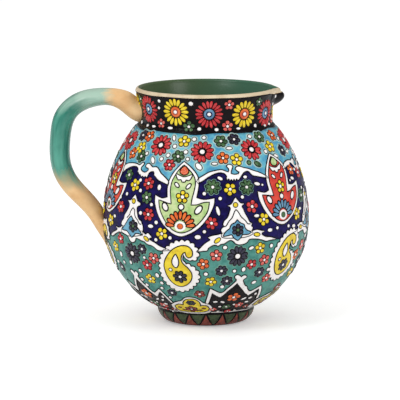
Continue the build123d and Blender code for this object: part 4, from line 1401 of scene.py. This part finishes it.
def paisley(centre, lift, size):
    """A paisley with its scalloped halo, drop, dot and flower."""

    middle = PAISLEY_MIDDLE + lift

    def moved(outline):
        places = []
        for a, z, *sharp in outline:
            across, up = a - PAISLEY_ANGLES[0], z - PAISLEY_MIDDLE
            places.append((centre + across * size, middle + up * size, *sharp))
        return places

    chart = Chart(centre, middle)
    line = wound(smooth(laid(chart, moved(HALO))))
    lengths = [0.0]
    for a, b in zip(line, line[1:] + line[:1]):
        lengths.append(lengths[-1] + (b - a).length)
    count = SCALLOP_STEPS * round(lengths[-1] / SCALLOP_PITCH)
    notch = Vector(chart.local(*moved(HALO[:1])[0][:2]))
    halo = []
    for i in range(count):
        at = lengths[-1] * i / count
        k = min(bisect.bisect_right(lengths, at) - 1, len(line) - 1)
        a, b = line[k], line[(k + 1) % len(line)]
        along = (b - a).normalized()
        spot = a + along * (at - lengths[k])
        away = min(max((spot - notch).length / NOTCH_REACH - 1, 0), 1)
        rise = SCALLOP_RISE * away * abs(math.sin(math.pi * i / SCALLOP_STEPS))
        halo.append(spot + Vector((along.y, -along.x)) * rise)
    patch(HALOS, chart, halo, ON_CLAY, WHITE_TOP, FIELD_EDGE, LINES)
    fill(PAISLEYS, chart, moved(PAISLEY), ON_WHITE, FIELD_TOP, FIELD_EDGE, LINES)
    fill(WHITES, chart, moved(DROP), ON_FIELD, DOT_TOP, FINE_EDGE, LINES)
    dot_place, flower_place = moved((PAISLEY_DOT, PAISLEY_FLOWER))
    dot(WHITES, *dot_place, PAISLEY_DOT_RADIUS, PAISLEY_DOT_RADIUS, 0, ON_FIELD)
    radius = PAISLEY_FLOWER_RADIUS * size
    flower(DARKS, *flower_place, radius, 7, WHITES, PAISLEY_EYE, PAISLEY_TWIST, ON_FIELD)


for angle, lift, size in zip(PAISLEY_ANGLES, PAISLEY_LIFTS, PAISLEY_SIZES):
    paisley(angle, lift, size)

# The teal belt


def lower(turn):
    """The flowers of the teal belt in one cell."""
    a, z, radius, petals = BIG_FLOWER
    flower(DARKS, turn(a), z, radius, petals, WHITES, BIG_EYE, halo=RIMS)
    for coat, a, z, radius in (
        (LOWER_PINK, 5, 69.6, 5.0), (LOWER_PINK, 34, 63.2, 5.0), (LOWER_PINK, 39.6, 46.2, 4.4),
        (ORANGES, -2, 62.2, 4.9), (REDS, 26, 60.4, 4.4), (DARKS, 8.4, 56, 4.9),
        (DARKS, 12.2, 46.6, 4.8), (DARKS, 32.6, 52.5, 4.8), (YELLOWS, 2.4, 46.2, 4.8),
        (YELLOWS, 30.1, 74, 4.8), (RUST, -4.8, 34.2, 4.4), (DARKS, -24.4, 34.4, 4.0),
    ):
        if clear(turn(a), z, radius):
            flower(coat, turn(a), z, radius, 7 if coat is DARKS else 5, WHITES, LOWER_EYE, halo=RIMS)
    for a, z, long, wide, lean in (
        (-0.6, 53.2, 1.7, 1.7, 0), (9.7, 76.4, 1.8, 1.6, 0), (16, 55.4, 1.5, 1.5, 0),
        (9.8, 41.2, 1.7, 1.7, 0), (24.6, 74.8, 2.4, 1.3, 20), (37.4, 75, 1.7, 1.7, 0),
        (38.6, 54, 1.6, 1.6, 0), (31, 43.4, 2.2, 1.6, 20), (21.5, 56.4, 2.2, 1.7, 90),
    ):
        if clear(turn(a), z, long - DOT_LET_OFF):
            dot(WHITES, turn(a), z, long, wide, lean)


for turn in LOWER_CELLS:
    lower(turn)
flower(DARKS, *LEFT_BIG_FLOWER, WHITES, LEFT_BIG_EYE, halo=RIMS)
for coat, a, z, radius in (
    (LOWER_PINK, -31.1, 65.3, 5.0), (REDS, -36.6, 58.5, 4.9), (REDS, -55.3, 78, 4.4),
    (DARKS, -38.4, 72.2, 4.4), (YELLOWS, -37.4, 46, 4.9), (YELLOWS, -62.4, 70, 4.6),
    (DARKS, -62.8, 52, 4.4),
):
    flower(coat, a, z, radius, 7 if coat is DARKS else 5, WHITES, LOWER_EYE, halo=RIMS)
for a, z, long, wide in (
    (-31.3, 50, 1.8, 2.2), (-29.7, 43.2, 1.6, 1.6), (-31.2, 38.2, 1.5, 1.5), (-43.8, 52.3, 1.7, 1.7),
    (-43.3, 39.5, 1.6, 1.6), (-45.4, 44.2, 1.6, 1.6), (-37.6, 64.9, 1.3, 1.3), (-57.8, 64.3, 1.6, 2.4),
    (-28, 29.6, 1.4, 1.4), (-65.1, 56.3, 1.6, 1.6), (-50, 58.6, 1.4, 1.8), (-57, 57.4, 1.3, 1.5),
):
    dot(WHITES, a, z, long, wide)

# The base

for centre, share in ARCH_SHARES:
    chart = Chart(centre, ARCH_CHART)

    def turn(a):
        return centre + (a - ARCH_MIDDLE) * share

    arch = [(a, sagged(centre, a, z), *sharp) for a, z, *sharp in ARCH]
    fill(ARCHES, chart, mapped(arch, turn), rim=LINES, edge=ARCH_EDGE_WIDTH)
    for coat, a, z, radius in (
        (ORANGES, 21.2, 30.2, 5.8), (GREENS, 18.6, 20.6, 4.0), (LOWER_PINK, 30.4, 21.6, 4.2),
        (REDS, 23.6, 15.2, 3.2), (LOWER_PINK, 6.6, 18, 3.4), (RUST, 40.6, 19, 3.0),
    ):
        flower(coat, turn(a), sagged(centre, a, z), radius, 5, WHITES, radius * EYE_SHARE)
    for a, z, long, wide, lean in (
        (7.4, 26.4, 2.0, 1.2, 0), (13.4, 25.9, 2.2, 1.1, -30), (30.6, 28, 2.6, 1.0, 35),
        (36.6, 28.2, 1.9, 1.1, 35), (39.4, 31.6, 1.2, 1.5, 0), (36, 24.2, 2.0, 1.1, 0),
        (12.8, 15.6, 1.3, 1.1, 0), (12.4, 21, 1.3, 1.3, 0), (31.6, 15.6, 1.3, 1.1, 0),
        (24.8, 22.6, 1.1, 1.1, 0),
    ):
        dot(WHITES, turn(a), sagged(centre, a, z), long, wide, lean)

for centre, share, lift in CLOUD_SHARES:
    chart = Chart(centre, CLOUD_CHART)

    def placed(points):
        return [(centre + (a - CLOUD_MIDDLE) * share, z + lift, *rest) for a, z, *rest in points]

    fill(CLOUDS, chart, placed(CLOUD), OVER_CLAY, TENT_TOP, rim=LINES)
    fill(CLOUD_YELLOW, chart, placed(TREFOIL), ON_TENT, FIELD_TOP, FINE_EDGE, LINES)
    for (coat, eye), bloom in zip(((RUST, WHITES), (DARKS, GREENS)), placed(CLOUD_FLOWERS)):
        a, z, radius, eye_radius, twist = bloom
        flower(coat, a, z, radius, 6, eye, eye_radius, twist, ON_FIELD)
    for mark in placed(CLOUD_MARKS):
        dot(RUST, *mark, ON_FIELD)

# The foot's band of triangles

for i in range(TEETH):
    angle = 360 / TEETH * i
    for coat, tooth in ((FOOT_RED, RED_TOOTH), (FOOT_GREEN, GREEN_TOOTH)):
        chart = Chart(angle + tooth[2][0], TEETH_CHART)
        outline = [(angle + a, *rest) for a, *rest in tooth]
        fill(coat, chart, outline, ON_CLAY, TOOTH_TOP, FINE_EDGE)

for coat in COATS:
    coat.make()

# The clay

pot_material = pot("glazed_pot")
nodes = frame["nodes"]
for name, material, slot in (
    ("globe", pot_material, "terracotta"),
    ("neck_and_beak", pot_material, "terracotta"),
    ("foot_ring", terracotta, "terracotta"),
    ("handle", strap("brushed_strap"), "turquoise_glaze"),
):
    piece = nodes[name]
    piece.data.materials.clear()
    piece.data.materials.append(material)
    piece.data.polygons.foreach_set("use_smooth", [True] * len(piece.data.polygons))

# Floor, light and camera

bpy.ops.mesh.primitive_plane_add(size=FLOOR_SIZE, location=(0, FLOOR_BACK, 0))
floor = bpy.context.object
floor.name = "floor"
paint = Paint("floor_white")
bare = paint.body.outputs[0]
paint.feed(paint.body.inputs["Base Color"], FLOOR_COLOUR)
paint.feed(paint.body.inputs["Roughness"], FLOOR_ROUGH)
paint.feed(paint.body.inputs["Specular IOR Level"], FLOOR_SHINE)
lift = paint.nodes.new("ShaderNodeEmission")
paint.feed(lift.inputs["Strength"], FLOOR_LIFT)
lifted = paint.nodes.new("ShaderNodeAddShader")
paint.feed(lifted.inputs[0], bare)
paint.feed(lifted.inputs[1], lift.outputs[0])
seen = paint.nodes.new("ShaderNodeMixShader")
paint.feed(seen.inputs[0], paint.nodes.new("ShaderNodeLightPath").outputs["Is Camera Ray"])
paint.feed(seen.inputs[1], bare)
paint.feed(seen.inputs[2], lifted.outputs[0])
paint.feed(paint.nodes["Material Output"].inputs["Surface"], seen.outputs[0])
floor.data.materials.append(paint.material)

world = bpy.data.worlds.new("studio")
bpy.context.scene.world = world
world.use_nodes = True
world_nodes, world_links = world.node_tree.nodes, world.node_tree.links
world_path = world_nodes.new("ShaderNodeLightPath")
sky = world_nodes["Background"]
sky.inputs["Color"].default_value = (1, 1, 1, 1)
sky.inputs["Strength"].default_value = SKY
background = sky.outputs[0]
for ray, strength in SKY_RAYS:
    shade = world_nodes.new("ShaderNodeBackground")
    shade.inputs["Color"].default_value = (1, 1, 1, 1)
    shade.inputs["Strength"].default_value = strength
    mix = world_nodes.new("ShaderNodeMixShader")
    world_links.new(world_path.outputs[ray], mix.inputs[0])
    world_links.new(background, mix.inputs[1])
    world_links.new(shade.outputs[0], mix.inputs[2])
    background = mix.outputs[0]
world_links.new(background, world_nodes["World Output"].inputs["Surface"])


for name, place, power in LAMPS:
    lamp = bpy.data.lights.new(name, "AREA")
    lamp.size = LAMP_SIZE
    lamp.energy = power
    piece = bpy.data.objects.new(name, lamp)
    bpy.context.collection.objects.link(piece)
    piece.location = place
    piece.rotation_euler = (Vector(LAMP_TARGET) - Vector(place)).to_track_quat("-Z", "Y").to_euler()

camera_data = bpy.data.cameras.new("camera")
camera_data.sensor_width = SENSOR
camera_data.lens = SENSOR * CAMERA_DISTANCE / CAMERA_VIEW
camera = bpy.data.objects.new("camera", camera_data)
bpy.context.collection.objects.link(camera)
way = Vector((0, -math.cos(CAMERA_RISE), math.sin(CAMERA_RISE)))
camera.location = CAMERA_AIM + way * CAMERA_DISTANCE
camera.rotation_euler = (CAMERA_AIM - camera.location).to_track_quat("-Z", "Y").to_euler()
bpy.context.scene.camera = camera
bpy.context.scene.view_settings.view_transform = "Standard"
